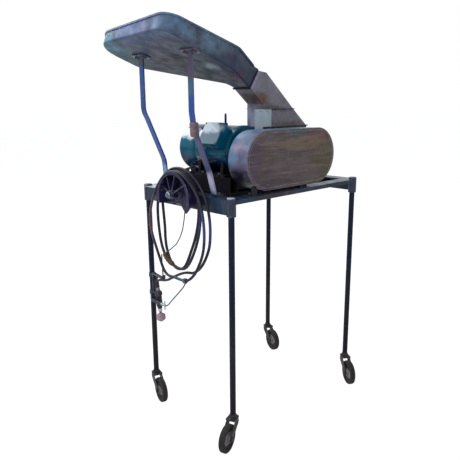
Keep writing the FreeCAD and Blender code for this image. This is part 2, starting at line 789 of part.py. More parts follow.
# Casing, rotor and spindle
def casing():
    corner_list = [(casing_left, pedestal_top, 50), (casing_right, pedestal_top, 4),
                   (casing_right, casing_top), (casing_left, casing_top)]
    outer = prism(outline(corner_list, in_xz(chute_front)), (0, chute_width, 0))
    t = casing_wall
    top_z = casing_top - casing_flange
    inner_corners = [(casing_left + t, pedestal_top + t, 50 - t), (casing_right - t, pedestal_top + t, 4),
                     (casing_right - t, top_z), (casing_left + t, top_z)]
    inner = prism(outline(inner_corners, in_xz(chute_front + t)), (0, chute_width - 2 * t, 0))
    mouth = box(casing_left + t, chute_base_right - 3, chute_front + t, chute_back - t, top_z - 1, casing_top + 1)
    base = box(casing_left - 10, casing_right + 10, chute_front - 12, chute_back + 12, pedestal_top,
               pedestal_top + casing_flange)
    top = box(chute_left - 4, casing_right + 4, chute_front - 4, chute_back + 4, top_z, casing_top)
    outlet = box(casing_right - 10, casing_right + 5, chute_front + 12, chute_back - 12,
                 pedestal_top + outlet_sill, pedestal_top + outlet_sill + outlet_height)
    bores = rod(spindle_radius + 4, (driven_x, chute_front - 1, axis_z), (driven_x, chute_back + 1, axis_z))
    holes = []
    for x in pedestal_xs[2:]:
        for y in (chute_front - 7.5, chute_back + 7.5):
            holes.append(bolt_on((x, y, pedestal_top + casing_flange), (0, 0, -1), casing_flange + box_wall))
    body = fuse([outer, base, top]).cut([inner, mouth, outlet, bores] + holes)
    parts["rotor_casing"] = body
    blade_half = (chute_width - 2 * casing_wall) / 2 - 6
    hub = rod(20, (driven_x, casing_mid_y - blade_half, axis_z), (driven_x, casing_mid_y + blade_half, axis_z))
    blades = []
    for k in range(6):
        blade = box(-3, 3, casing_mid_y - blade_half, casing_mid_y + blade_half, 12, rotor_radius)
        blade.rotate(V(0, 0, 0), V(0, 1, 0), 60 * k + 15)
        blade.translate(V(driven_x, 0, axis_z))
        blades.append(blade)
    bore = rod(spindle_radius + 0.02, (driven_x, 0, axis_z), (driven_x, 300, axis_z))
    parts["rotor"] = fuse([hub] + blades).cut(bore)
    front_end = belt_plane - pulley_face
    parts["spindle"] = turned([(0, front_end), (spindle_radius, front_end, 1), (spindle_radius, coupling_end - 22),
                               (6, coupling_end - 20), (6, coupling_end - 4, 1), (0, coupling_end - 4)],
                              (driven_x, 0, axis_z), (0, 1, 0))
    bearing = [(spindle_radius + running_gap, 0), (38, 0), (38, 7, 2), (26, 8, 3), (24, 17, 2),
               (spindle_radius + running_gap, 17)]
    housings = []
    for y, side in ((chute_front, -1), (chute_back, 1)):
        housing = turned(bearing, (driven_x, y, axis_z), (0, side, 0))
        caps = [turned([(0, 6), (6, 6), (6, 11, 1), (0, 11)], (driven_x + c, y, axis_z), (0, side, 0))
                for c in (-31, 31)]
        housings.append(fuse([housing] + caps))
    parts["spindle_bearings"] = Part.makeCompound(housings)


def coupling():
    start = coupling_end - 44
    low = pedestal_top
    mid_y = start + 22
    barrel = turned([(13, 0), (24, 0, 2), (24, 30, 2), (18, 44, 2), (7, 44), (7, 38), (13, 38)],
                    (driven_x, start, axis_z), (0, 1, 0))
    foot = box(pedestal_xs[2] - 12, pedestal_xs[3] + 12, mid_y - 16, mid_y + 12, low, low + 6)
    post = prism(outline([(driven_x - 40, low + 6), (driven_x + 40, low + 6), (driven_x + 20, axis_z),
                          (driven_x - 20, axis_z)], in_xz(mid_y - 6)), (0, 8, 0))
    hollow = rod(13, (driven_x, start - 1, axis_z), (driven_x, start + 38, axis_z))
    nut = turned([(7, 0), (13, 0, 1), (13, coupling_nut - 5, 1), (8, coupling_nut, 1), (0, coupling_nut), (0, 8), (7, 8)],
                 (driven_x, coupling_end, axis_z), (0, 1, 0))
    holes = []
    for x in pedestal_xs[2:]:
        holes.append(bolt_on((x, mid_y - 2, low + 6), (0, 0, -1), 6 + box_wall))
    body = fuse([barrel, foot, post.cut(hollow), nut])
    parts["coupling_housing"] = body.cut(holes)


# Chute and tray
def shell_of(solid, wall, open_points):
    """Hollows a sheet-metal box inward by its wall, open at the faces nearest to the given points."""
    openings = []
    for point in open_points:
        openings.append(min(solid.Faces, key=lambda f: f.CenterOfMass.distanceToPoint(V(*point))))
    return solid.makeThickness(openings, -wall, 1e-3)


def chute():
    low_x, low_z = chute_low
    high_x, high_z = chute_high
    under_bend = (chute_left, low_z - (chute_left - low_x) * chute_fall)
    duct = [chute_low, chute_high, chute_crown, (seam_right, seam_height), (chute_left, seam_height), under_bend]
    upper = prism(outline(duct, in_xz(chute_front)), (0, chute_width, 0))
    seam_mid = ((chute_left + seam_right) / 2, casing_mid_y, seam_height)
    ends = [((low_x + high_x) / 2, casing_mid_y, (low_z + high_z) / 2), seam_mid]
    parts["chute_upper"] = shell_of(upper, sheet, ends)
    base_corners = [(chute_left, casing_top), (chute_base_right, casing_top), (seam_right, seam_height),
                    (chute_left, seam_height)]
    base = prism(outline(base_corners, in_xz(chute_front)), (0, chute_width, 0))
    ends = [((chute_left + chute_base_right) / 2, casing_mid_y, casing_top), seam_mid]
    base = shell_of(base, sheet, ends)
    lips = [box(chute_left, seam_right - 2, chute_front - seam_lip, chute_front, seam_height - 2, seam_height),
            box(chute_left, seam_right - 2, chute_back, chute_back + seam_lip, seam_height - 2, seam_height)]
    parts["chute_base"] = fuse([base] + lips)
    plate_y = chute_front - bracket_sheet
    gap = 0.2
    upright = box(bracket_left, bracket_right, plate_y, chute_front, casing_top + gap, seam_height - 2 - gap)
    strip_right = chute_left - 4 - gap
    strip = box(bracket_left, strip_right, plate_y, chute_front, bracket_low, casing_top + gap)
    foot = box(bracket_left, strip_right, guard_depth + guard_plate, chute_front, bracket_low,
               bracket_low + bracket_sheet)
    parts["chute_bracket"] = fuse([upright, strip, foot])


def tray_point(down, y, up):
    """Point in the tray's own frame: down the slope from the neck, across, and square to the floor."""
    a = math.radians(tray_slope)
    return V(chute_low[0] + down * math.cos(a) + up * math.sin(a), y,
             chute_low[1] - down * math.sin(a) + up * math.cos(a))


def to_tray(shape):
    shape.rotate(V(0, 0, 0), V(0, 1, 0), tray_slope)
    shape.translate(V(chute_low[0], 0, chute_low[1]))
    return shape


def inset(corner_list, by):
    """Corners (u, v, radius) of a clockwise outline moved inward, its rounds kept parallel."""
    count = len(corner_list)
    moved = []
    for i, corner in enumerate(corner_list):
        here = V(corner[0], corner[1], 0)
        before = here - V(*corner_list[i - 1][:2], 0)
        after = V(*corner_list[(i + 1) % count][:2], 0) - here
        before.normalize()
        after.normalize()
        side = V(before.y, -before.x, 0)
        next_side = V(after.y, -after.x, 0)
        here += (side + next_side) * (by / (1 + side.dot(next_side)))
        rounder = by if before.cross(after).z > 0 else -by
        moved.append((here.x, here.y, corner[2] + rounder) if len(corner) > 2 else (here.x, here.y))
    return moved


def tray_outline():
    """Plan of the tray: neck, tapered near side, skewed end wall, far side and its flare."""
    near_round, flare_round, neck_round = tray_side_rounds
    neck = 30.0
    return [(neck, chute_front), (0, chute_front), (-tray_near_taper, tray_near, near_round),
            (-tray_end_near, tray_near, tray_corner), (-tray_end_far, tray_far, tray_far_corner),
            (-tray_flare_end, tray_far, flare_round), (-tray_flare_start, chute_back, neck_round),
            (neck, chute_back)]


def above_rim():
    """What lies over the sloping rim: a plane through the near side's taper and the end's two corners."""
    near_slope = (tray_wall - tray_wall_end_near) / (tray_end_near - tray_near_taper)
    at_far = tray_wall - near_slope * (tray_end_far - tray_near_taper)
    cross_slope = (tray_wall_end_far - at_far) / (tray_far - tray_near)
    top = tray_wall + 100

    def rim(x, y):
        return V(x, y, tray_wall + near_slope * (x + tray_near_taper) + cross_slope * (y - tray_near))

    left = -tray_end_near - 60
    right = 80
    front = tray_near - 60
    back = tray_far + 60
    ring = [(left, front), (right, front), (right, back), (left, back)]
    low = [rim(x, y) for x, y in ring]
    high = [V(x, y, top) for x, y in ring]
    faces = [Part.Face(Part.makePolygon(low + low[:1])), Part.Face(Part.makePolygon(high + high[:1]))]
    for i in range(4):
        k = (i + 1) % 4
        faces.append(Part.Face(Part.makePolygon([low[i], low[k], high[k], high[i], low[i]])))
    return Part.makeSolid(Part.makeShell(faces))


def tray():
    plan = tray_outline()
    neck = plan[0][0]

    def body(shrink, low, high, bend):
        solid = prism(outline(inset(plan, shrink), in_xy(low)), (0, 0, high - low))
        edges = [e for e in solid.Edges if e.BoundBox.ZMax < low + 0.01 and e.BoundBox.XMin < neck - shrink - 0.1]
        return solid.makeFillet(bend, edges)

    outer = body(0, 0, tray_wall, tray_bend)
    inner = body(sheet, sheet, tray_wall + 5, tray_bend - sheet)
    a = math.radians(tray_slope)
    mouth_x = chute_high[0] - chute_low[0]
    mouth_z = chute_high[1] - chute_low[1]
    lean = (mouth_x * math.cos(a) - mouth_z * math.sin(a)) / (mouth_x * math.sin(a) + mouth_z * math.cos(a))
    mouth = outline([(-0.2 - lean, -1), (lean * (tray_wall + 1) - 0.2, tray_wall + 1),
                     (neck + 30, tray_wall + 10), (neck + 30, -1)],
                    lambda u, v: V(u, tray_near - 50, v))
    cutter = prism(mouth, (0, tray_far, 0))
    over = above_rim()
    shell = outer.cut([inner, cutter, over])

    def ring(drop):
        outside = prism(outline(inset(plan, -bead_width), in_xy(-drop)), (0, 0, tray_wall))
        inside = prism(outline(plan, in_xy(-drop)), (0, 0, tray_wall))
        top = over.copy()
        top.translate(V(0, 0, -drop))
        return outside.cut([inside, top])

    bead = ring(0).cut([ring(bead_height), box(-18, neck + 8, 0, tray_far, -bead_height, tray_wall + 5)])
    body_shape = fuse([shell, bead])
    holes = []
    cleat_down = cleat_place()
    for y in strut_ys:
        for side in (-1, 1):
            at = V(cleat_down, y + side * cleat_bolt_spread / 2, -cleat_thickness)
            world = tray_point(at.x, at.y, at.z)
            up = tray_point(0, 0, 1) - tray_point(0, 0, 0)
            holes.append(bolt_on((world.x, world.y, world.z), (up.x, up.y, up.z), cleat_thickness + sheet))
    parts["feed_tray"] = to_tray(body_shape).cut(holes)
    return holes


def cleat_place():
    """Distance down the tray's slope, negative as it is up it, at which the struts meet the floor."""
    return -(chute_low[0] + strut_lean) / math.cos(math.radians(tray_slope))


def struts(holes):
    down = cleat_place()
    top = tray_point(down, 0, -cleat_thickness - 1)
    bars = []
    for y, knees in zip(strut_ys, strut_knees):
        z0 = rail_top + strut_thickness / 2
        bends = [(x, rail_top + z) for x, z in knees]
        middle = [(strut_foot, z0), (4, z0)] + bends
        middle += [(-strut_lean, rail_top + strut_straight), (-strut_lean, top.z + 4)]
        bar = bent_bar(middle, [9, 60, 60, 60], strut_thickness, strut_width, y)
        half = cleat_length / 2
        cleat = prism(outline([(down - cleat_width / 2, y - half, 6), (down + cleat_width / 2, y - half, 6),
                               (down + cleat_width / 2, y + half, 6), (down - cleat_width / 2, y + half, 6)],
                              in_xy(-cleat_thickness)), (0, 0, cleat_thickness))
        above = to_tray(box(-tray_end_far, 0, 0, tray_far, -cleat_thickness / 2, tray_wall))
        bars.append(fuse([bar.cut(above), to_tray(cleat)]).cut(holes + bolt_holes))
    parts["tray_struts"] = Part.makeCompound(bars)


# Hanger saddle
def hanger():
    """Half-round saddle on the left rail: a trough with two edges, a plate, ribs, and its bolt."""
    y = hanger_y
    z = hanger_z
    face = hanger_face
    b = hanger_barrel_radius
    r = hanger_flange_radius
    f = hanger_flange
    outward = (-1, 0, 0)
    centre = (hanger_face_x, y, z)
    hub_y = y + hanger_hub_shift[0]
    hub_z = z + hanger_hub_shift[1]
    ring = turned([(b - hanger_rim, 0), (r, 0, 1), (r, f, 1), (b, f + 0.5), (b, face - f - 0.5), (r, face - f, 1),
                   (r, face, 1), (b - hanger_rim, face)], centre, outward)
    outer_x = hanger_face_x - face
    half = box(outer_x - 1, hanger_face_x + 1, y - r - 1, y + r + 1, z - hanger_skirt, z + r + 1)
    trough = ring.common(half)
    low = z - hanger_skirt
    inside = b - hanger_rim + 1
    plate_outline = [(y + inside - 3, low), (y + 8, low), (y - 22, low - 34, 5), (y - 46, low - 10, 8),
                     (y - inside + 3, low), (y - inside + 3, z), (y - inside * 0.72, z + inside * 0.68, 20),
                     (y, z + inside - 1, 30), (y + inside * 0.72, z + inside * 0.68, 20), (y + inside - 3, z)]
    plate = prism(outline(plate_outline, lambda u, v: V(hanger_face_x - 4, u, v)), (4, 0, 0))
    ribs = []
    core = rod(b - 1, (outer_x, y, z), (hanger_face_x, y, z))
    for turn in hanger_ribs:
        rib = box(hanger_face_x - face * 0.75, hanger_face_x - 3, -2.5, 2.5, 0, r + 30)
        rib.rotate(V(0, 0, 0), V(1, 0, 0), turn)
        rib.translate(V(0, hub_y, hub_z))
        ribs.append(rib.common(core))
    hub = turned([(0, 0), (hanger_hub_radius, 0), (hanger_hub_radius, 8, 3), (16, 12, 2), (16, face - 8, 1),
                  (0, face - 8)], (hanger_face_x, hub_y, hub_z), outward)
    bore = rod(hanger_bolt_radius + running_gap, (0, hub_y, hub_z), (outer_x - 20, hub_y, hub_z))
    body = fuse([trough, plate, hub] + ribs).cut(bore)
    parts["hanger_saddle"] = body
    web_low = rail_top - angle_leg + 2
    mount = prism(outline([(y - 39, web_low, 6), (y + 39, web_low, 6), (y + 22, z + 20, 16),
                           (y - 22, z + 20, 16)], lambda u, v: V(rail_face - hanger_stand_off, u, v)),
                  (hanger_stand_off, 0, 0))
    end = outer_x + 8
    stud = rod(hanger_bolt_radius, (rail_face - 1, hub_y, hub_z), (end - 16, hub_y, hub_z))
    washer = rod(14, (end, hub_y, hub_z), (end - 3, hub_y, hub_z))
    nut = turned([(0, 0), (12, 0), (12, 7, 2), (8, 12, 4), (0, 13)], (end - 3, hub_y, hub_z), outward)
    parts["hanger_bolt"] = fuse([mount, stud, washer, nut]).cut(bolt_holes)


# Flexible shaft
def bend_radii(points):
    """Radius of each bend: 0.45 of the shorter run beside it over the tangent of half the turn."""
    pts = [V(*p) for p in points]
    radii = []
    for i in range(1, len(pts) - 1):
        back = pts[i] - pts[i - 1]
        ahead = pts[i + 1] - pts[i]
        turn = back.getAngle(ahead)
        radii.append(0.45 * min(back.Length, ahead.Length) / math.tan(turn / 2))
    return radii


def biarc(p0, t0, p1, t1):
    """Two arcs that leave p0 along t0 and reach p1 along t1."""
    v = p1 - p0
    t = t0 + t1
    parallel = 2 * (1 - t0.dot(t1))
    if parallel < 1e-9:
        reach = v.dot(v) / (4 * v.dot(t0))
    else:
        reach = (-v.dot(t) + math.sqrt(v.dot(t) ** 2 + parallel * v.dot(v))) / parallel
    middle = (p0 + p1 + (t0 - t1) * reach) * 0.5

    def arc(a, tangent, b):
        chord = b - a
        off = chord - tangent * chord.dot(tangent)
        if off.Length < 1e-6:
            return Part.makeLine(a, b)
        radius = chord.dot(chord) / (2 * off.Length)
        off.normalize()
        centre = a + off * radius
        toward = (a - centre) + (b - centre)
        toward.normalize()
        return Part.Arc(a, centre + toward * radius, b).toShape()

    first = arc(p0, t0, middle)
    back = arc(p1, t1 * -1, middle)
    if isinstance(back.Curve, Part.Line):
        second = Part.makeLine(middle, p1)
    else:
        half = back.valueAt((back.FirstParameter + back.LastParameter) / 2)
        second = Part.Arc(middle, half, p1).toShape()
    return [first, second]


# Each loop of the hank: how far it reaches right and left of the saddle's axis and at what
# height below it, and where its lowest point hangs, all measured from that axis.
hank_loops = [
    # right, its drop, lowest across, its drop, left, its drop
    (0.0, 0.0, -22.0, 252.0, 0.0, 0.0),
    (112.0, 95.0, -8.0, 271.0, 118.0, 110.0),
    (134.0, 100.0, 50.0, 297.0, 158.0, 133.0),
]
last_right = (155.0, 90.0)


def hank_tops():
    """Across-the-rim place and height of each pass over the saddle: three on the barrel, two in the valleys."""
    pitch = shaft_diameter + strand_gap
    first = hanger_face_x - hanger_flange - cord_radius - 2.0
    low = hanger_barrel_radius + side_gap + cord_radius
    rise = math.sqrt((shaft_diameter + 0.9) ** 2 - (pitch / 2) ** 2)
    tops = [(first - pitch * k, low) for k in range(3)]
    tops += [(first - pitch * 1.5, low + rise), (first - pitch * 0.5, low + rise)]
    return tops


def hank_nodes():
    """Points and headings of the hank, four to a loop: over the saddle, right side, bottom, left side."""
    tops = hank_tops()
    nodes = []
    for k, (right, right_drop, low_y, low_drop, left, left_drop) in enumerate(hank_loops):
        x0, top0 = tops[k]
        x1 = tops[k + 1][0]
        step = x1 - x0
        right = max(right, top0)
        left = max(left, tops[k + 1][1])
        nodes.append(((x0, hanger_y, hanger_z + top0), (0, -1, 0)))
        nodes.append(((x0 + step * 0.25, hanger_y - right, hanger_z - right_drop), (0, 0, -1)))
        nodes.append(((x0 + step * 0.5, hanger_y - low_y, hanger_z - low_drop), (0, 1, 0)))
        nodes.append(((x0 + step * 0.75, hanger_y + left, hanger_z - left_drop), (0, 0, 1)))
    x, top = tops[-1]
    nodes.append(((x, hanger_y, hanger_z + top), (0, -1, 0)))
    nodes.append(((x + 5, hanger_y - last_right[0], hanger_z - last_right[1]), (0, 0, -1)))
    return [(V(*p), V(*t)) for p, t in nodes]


def least_gap(edges, diameter):
    """Least distance between strands of the hank, measured on points along its middle line."""
    points = []
    run = 0.0
    for edge in edges:
        steps = max(4, int(edge.Length / 4))
        for k in range(steps):
            at = edge.FirstParameter + (edge.LastParameter - edge.FirstParameter) * k / steps
            points.append((run + edge.Length * k / steps, edge.valueAt(at)))
        run += edge.Length
    least = 1e9
    for i, (s0, p0) in enumerate(points):
        for s1, p1 in points[i + 1:]:
            if s1 - s0 > diameter * 6:
                gap = (p1 - p0).Length - diameter
                least = min(least, gap)
    return least


def check_tube(name, path, solid, radius):
    ideal = math.pi * radius ** 2 * path.Length
    print(name, "length %.0f" % path.Length, "volume ratio %.4f" % (solid.Volume / ideal),
          "valid", solid.isValid())


def cord_node(name, points, radius):
    radii = bend_radii(points)
    path = rounded_path(points, radii)
    solid = swept_circle(path, radius)
    print(name, "radii", " ".join("%.0f" % r for r in radii))
    check_tube(name, path, solid, radius)
    parts[name] = solid


def flexible_shaft():
    nodes = hank_nodes()
    edges = []
    for (p0, t0), (p1, t1) in zip(nodes, nodes[1:]):
        edges += biarc(p0, t0, p1, t1)
    path = Part.Wire(edges)
    coil = swept_circle(path, cord_radius)
    parts["flex_shaft_coil"] = coil
    print("flex_shaft_coil to its saddle %.2f" % path.distToShape(parts["hanger_saddle"])[0], "less", cord_radius)
    print("flex_shaft_coil least gap %.2f" % least_gap(edges, shaft_diameter))
    print("flex_shaft_coil least radius %.1f" % min(
        e.Curve.Radius for e in edges if hasattr(e.Curve, "Radius")))
    check_tube("flex_shaft_coil", path, coil, cord_radius)
    start = nodes[0][0]
    end = nodes[-1][0]
    feed = [
        (driven_x, coupling_end + coupling_nut, axis_z),
        (driven_x, coupling_end + coupling_nut + 36, axis_z),
        (430, 360, 1030),
        (402, 391, 1018),
        (360, 404, 1005),
        (306, 407, 989),
        (250, 405, 974),
        (190, 401, 961),
        (132, 394, 953),
        (84, 378, 951),
        (42, 348, 956),
        (8, 310, 966),
        (-16, 274, 975),
        (start.x, start.y + 26, start.z),
        (start.x, start.y, start.z),
    ]
    cord_node("flex_shaft_feed", feed, cord_radius)
    ferrule = hand_point(0, 0, 0)
    above = hand_point(0, 0, 24)
    tail = [
        (end.x, end.y, end.z),
        (end.x, end.y, end.z - 34),
        (end.x + 2, 72, 735),
        (-35, 92, 693),
        (-31, 124, 655),
        (-29, 162, 630),
        (-26, 206, 618),
        (-22, 252, 603),
        (-18, 298, 580),
        (-12, 342, 554),
        (-6, 384, 532),
        (above.x, above.y, above.z),
        (ferrule.x, ferrule.y, ferrule.z),
    ]
    cord_node("flex_shaft_end", tail, cord_radius)
    sleeve(edges)


def sleeve(edges):
    """Brown protecting sleeve on the second loop, low on its left side, along one arc of the shaft."""
    arc = edges[2 * (4 + 2)]
    turn = (arc.LastParameter - arc.FirstParameter) / arc.Length
    places = [arc.FirstParameter + turn * (sleeve_start + sleeve_length * k) for k in (0, 0.5, 1)]
    ends = [arc.valueAt(place) for place in places]
    path = Part.Wire([Part.Arc(*ends).toShape()])
    outer = swept_circle(path, cord_radius + sleeve_wall)
    inner = swept_circle(path, cord_radius)
    parts["sheath_sleeve"] = outer.cut(inner)
    others = Part.Wire(edges[:2 * (4 + 1)]), Part.Wire(edges[2 * (4 + 3):])
    gaps = [other.distToShape(path)[0] - 2 * cord_radius - sleeve_wall for other in others]
    print("sheath_sleeve arc radius %.0f of length %.0f," % (arc.Curve.Radius, arc.Length),
          "gaps", " ".join("%.1f" % gap for gap in gaps))


# Handpiece
def hand_point(x, y, z):
    a = math.radians(-hand_tilt)
    return V(hand_place[0] + x, hand_place[1] + y * math.cos(a) - z * math.sin(a),
             hand_place[2] + y * math.sin(a) + z * math.cos(a))


def to_hand(shape):
    shape.rotate(V(0, 0, 0), V(1, 0, 0), -hand_tilt)
    shape.translate(V(*hand_place))
    return shape


def handpiece():
    down = (0, 0, -1)
    f = ferrule_length
    g = f + grip_length
    ferrule = turned([(0, 0), (6.5, 0, 0.5), (9, f - 4, 2), (9, f), (0, f)], (0, 0, 0), down)
    grooves = []
    for k in range(6):
        at = f + 18 + 7 * k
        grooves.append(tube(grip_radius + 1, grip_radius - 0.8, (0, 0, -at), (0, 0, -at - 2.5)))
    body = turned([(grip_bore, f), (grip_radius - 1, f, 1.5), (grip_radius, f + 6, 4), (grip_radius, g - 14, 4),
                   (8.5, g, 1), (hand_spindle_radius + 1, g), (hand_spindle_radius + 1, g - 6), (grip_bore, g - 6)],
                  (0, 0, 0), down).cut(grooves)
    race = [(hand_spindle_radius + running_gap, 0), (grip_bore - running_gap, 0),
            (grip_bore - running_gap, 6), (hand_spindle_radius + running_gap, 6)]
    races = [turned(race, (0, 0, -at), down) for at in (f + 4, g - 13)]
    end = g + side_gap
    spindle = rod(hand_spindle_radius, (0, 0, -f - 2), (0, 0, -end - 6))
    key_hole = rod(1.6, (0, -12, -end - 5.5), (0, -5, -end - 5.5))
    chuck = turned([(hand_spindle_radius + 0.02, end), (8.5, end, 0.6), (8.5, end + 9, 1), (4.2, end + chuck_length, 0.5),
                    (stone_shank + 0.02, end + chuck_length), (stone_shank + 0.02, end + 8),
                    (hand_spindle_radius + 0.02, end + 8)], (0, 0, 0), down).cut(key_hole)
    shank_start = end + 9
    stone_top = end + chuck_length + 2
    stone = turned([(0, shank_start), (stone_shank, shank_start), (stone_shank, stone_top), (7, stone_top, 2),
                    (stone_radius, stone_top + 7, 7), (stone_radius, stone_top + 25, 9), (6, stone_top + 34, 4),
                    (0, stone_top + 34)], (0, 0, 0), down)
    parts["handpiece_ferrule"] = to_hand(ferrule)
    parts["handpiece_body"] = to_hand(body)
    parts["handpiece_bearings"] = to_hand(Part.makeCompound(races))
    parts["handpiece_spindle"] = to_hand(spindle)
    parts["chuck"] = to_hand(chuck)
    parts["mounted_stone"] = to_hand(stone)
    clip_and_key()


def clip_and_key():
    """Clip on the back left leg: band, spring jaws, arm with a wire hook, and the chuck key in its boss."""
    leg_x, leg_y = leg_place(False, True)
    jaw_at = -ferrule_length - 12
    jaw = tube(grip_radius + side_gap + clip_wall, grip_radius + side_gap, (0, 0, jaw_at - 7), (0, 0, jaw_at + 7))
    mouth = box(-9, 9, -grip_radius - 12, 0, jaw_at - 8, jaw_at + 8)
    jaw = to_hand(jaw.cut(mouth))
    jaw_mid = hand_point(0, 0, jaw_at)
    band_z = jaw_mid.z
    arm_z = hand_place[2] + clip_arm_above
    grip = leg_radius + side_gap / 2
    bands = [tube(grip + clip_wall, grip, (leg_x, leg_y, z - 8), (leg_x, leg_y, z + 8)) for z in (band_z, arm_z - 5)]
    strap_y = leg_y - grip - clip_wall
    jaw_back = hand_place[1] + grip_radius + side_gap
    strap = box(leg_x - 8, leg_x + 8, strap_y - 1, strap_y + 2, band_z - 8, arm_z + 6)
    strap = strap.cut(rod(grip, (leg_x, leg_y, 0), (leg_x, leg_y, rail_top)))
    reach = box(leg_x - 6, leg_x + 6, jaw_mid.y + grip_radius + 1, strap_y, band_z - 7, band_z + 7)
    reach = reach.cut(to_hand(rod(grip_radius + side_gap, (0, 0, -60), (0, 0, 20))))
    tip = strap_y - clip_arm_length
    arm_points = [(strap_y, arm_z + 3), (tip, arm_z - 4), (tip - 2, arm_z + 8), (tip - 5, arm_z + 8),
                  (tip - 3, arm_z - 7.5), (strap_y, arm_z)]
    arm_face = Part.Face(Part.makePolygon([V(leg_x - 8, y, z) for y, z in arm_points + arm_points[:1]]))
    arm = arm_face.extrude(V(16, 0, 0))
    gusset_points = [(strap_y + 1, arm_z), (strap_y - 26, arm_z - 3), (strap_y + 1, arm_z - 38)]
    gusset_face = Part.Face(Part.makePolygon([V(leg_x + 5, y, z) for y, z in gusset_points + gusset_points[:1]]))
    gusset = gusset_face.extrude(V(3, 0, 0))
    wire_points = [(leg_x, tip, arm_z - 4), (leg_x - 3, tip - 2, arm_z + 26), (leg_x - 12, tip - 12, arm_z + 70),
                   (leg_x - 26, tip - 32, arm_z + 102)]
    wire = swept_circle(rounded_path(wire_points, bend_radii(wire_points)), 2.5)
    boss_z = hand_point(0, 0, jaw_at - 28).z
    key_x = leg_x
    boss_y = hand_point(0, -grip_radius, jaw_at - 28).y - 22
    holder = box(key_x - 19, key_x - 16, boss_y - 5, strap_y + 2, boss_z - 6, boss_z + 6)
    boss = rod(6, (key_x - 17, boss_y - 5, boss_z), (key_x - 17, boss_y + 5, boss_z))
    socket = rod(2.1, (key_x - 17, boss_y - 6, boss_z), (key_x - 17, boss_y + 3, boss_z))
    link = box(key_x - 19, key_x - 5, strap_y - 1, strap_y + 2, boss_z - 6, band_z)
    link = link.cut(rod(grip, (leg_x, leg_y, 0), (leg_x, leg_y, rail_top)))
    clip = fuse(bands + [strap, reach, jaw, arm, gusset, wire, link, holder.fuse(boss)]).cut(socket)
    parts["handpiece_clip"] = clip
    key_y = boss_y - 5
    pilot = rod(2.0, (key_x - 17, key_y, boss_z), (key_x - 17, key_y + 7, boss_z))
    gear = turned([(0, 0), (6, 0, 0.5), (6, 6, 0.5), (4, 8), (4, key_length, 1), (0, key_length)],
                  (key_x - 17, key_y, boss_z), (0, -1, 0))
    bar = rod(2.5, (key_x - 17, key_y - 21, boss_z - 17), (key_x - 17, key_y - 21, boss_z + 17))
    parts["chuck_key"] = fuse([pilot, gear, bar])
    key_end = key_y - key_length
    loop_bottom = hank_nodes()[4 * 2 + 2][0]
    tether = [
        (key_x - 17, key_end - 0.8, boss_z),
        (key_x - 18, key_end - 14, boss_z + 4),
        (-23, 302, 474),
        (-28, 262, 508),
        (-33, 226, 541),
        (-40, 194, 568),
        (loop_bottom.x, loop_bottom.y + 2, loop_bottom.z - cord_radius - tether_diameter / 2 - 1.2),
    ]
    cord_node("key_tether", tether, tether_diameter / 2)


def build():
    stand()
    for name, (right_side, back_side, heading) in corners.items():
        caster(name, right_side, back_side, heading)
    motor()
    belt_drive()
    guard()
    casing()
    coupling()
    pedestals(bolt_holes)
    chute()
    struts(tray())
    hanger()
    flexible_shaft()
    handpiece()
    parts["hex_bolts"] = Part.makeCompound(bolts)


build()

cord_nodes = ["flex_shaft_feed", "flex_shaft_coil", "flex_shaft_end", "key_tether", "sheath_sleeve"]

whole = FreeCAD.BoundBox()
for node, shape in parts.items():
    if node not in cord_nodes:
        whole.add(shape.optimalBoundingBox(False, False))
shift = V(-whole.Center.x, -whole.Center.y, -whole.ZMin)

os.makedirs("parts", exist_ok=True)
for node, shape in parts.items():
    placed = shape.copy()
    placed.translate(shift)
    placed.exportStep("parts/" + node + ".step")

print("nodes", len(parts), "shift", shift)
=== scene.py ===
import logging
import math
from collections.abc import Sequence
from dataclasses import dataclass, field
from enum import Enum

import bpy
from mathutils import Matrix, Vector


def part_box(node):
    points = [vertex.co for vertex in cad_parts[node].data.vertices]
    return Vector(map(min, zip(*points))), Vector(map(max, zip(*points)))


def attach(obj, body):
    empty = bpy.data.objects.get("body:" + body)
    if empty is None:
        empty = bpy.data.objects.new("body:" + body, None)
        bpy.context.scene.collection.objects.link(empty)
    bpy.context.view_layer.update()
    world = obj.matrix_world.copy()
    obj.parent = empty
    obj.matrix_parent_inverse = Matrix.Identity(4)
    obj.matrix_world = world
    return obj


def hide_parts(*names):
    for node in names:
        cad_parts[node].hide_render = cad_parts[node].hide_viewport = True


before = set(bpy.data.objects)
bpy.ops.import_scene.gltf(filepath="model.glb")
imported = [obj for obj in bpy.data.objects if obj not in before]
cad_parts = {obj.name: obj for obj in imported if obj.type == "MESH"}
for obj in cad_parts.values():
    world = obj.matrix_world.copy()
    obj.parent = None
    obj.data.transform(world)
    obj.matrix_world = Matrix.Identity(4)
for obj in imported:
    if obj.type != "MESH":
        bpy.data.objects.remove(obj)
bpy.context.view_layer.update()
LOG = logging.getLogger("flexible_shaft_machine")
STAND = "stand"
MM = 0.001

Colour = tuple[float, float, float]
Point = tuple[float, float, float]
Pair = tuple[float, float]
Socket = bpy.types.NodeSocket
Piece = bpy.types.Object

WHITE = (1.0, 1.0, 1.0)
# The stand's own frame has its zero on the floor line under the front left leg. Adding this
# shift gives the frame that everything is packed in.
STAND_SHIFT = Vector((-0.245915923, -0.197108486, -0.014))


def place(x: float, y: float, z: float) -> Vector:
    """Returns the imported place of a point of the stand's own frame, in metres."""
    return Vector((x, y, z)) + STAND_SHIFT


def rgb(red: int, green: int, blue: int) -> Colour:
    """Returns the linear colour of a paint card value.

    Args:
        red: Red share, 0 to 255.
        green: Green share, 0 to 255.
        blue: Blue share, 0 to 255.
    """
    shares = (value / 255 for value in (red, green, blue))
    return tuple(s / 12.92 if s <= 0.04045 else ((s + 0.055) / 1.055) ** 2.4 for s in shares)


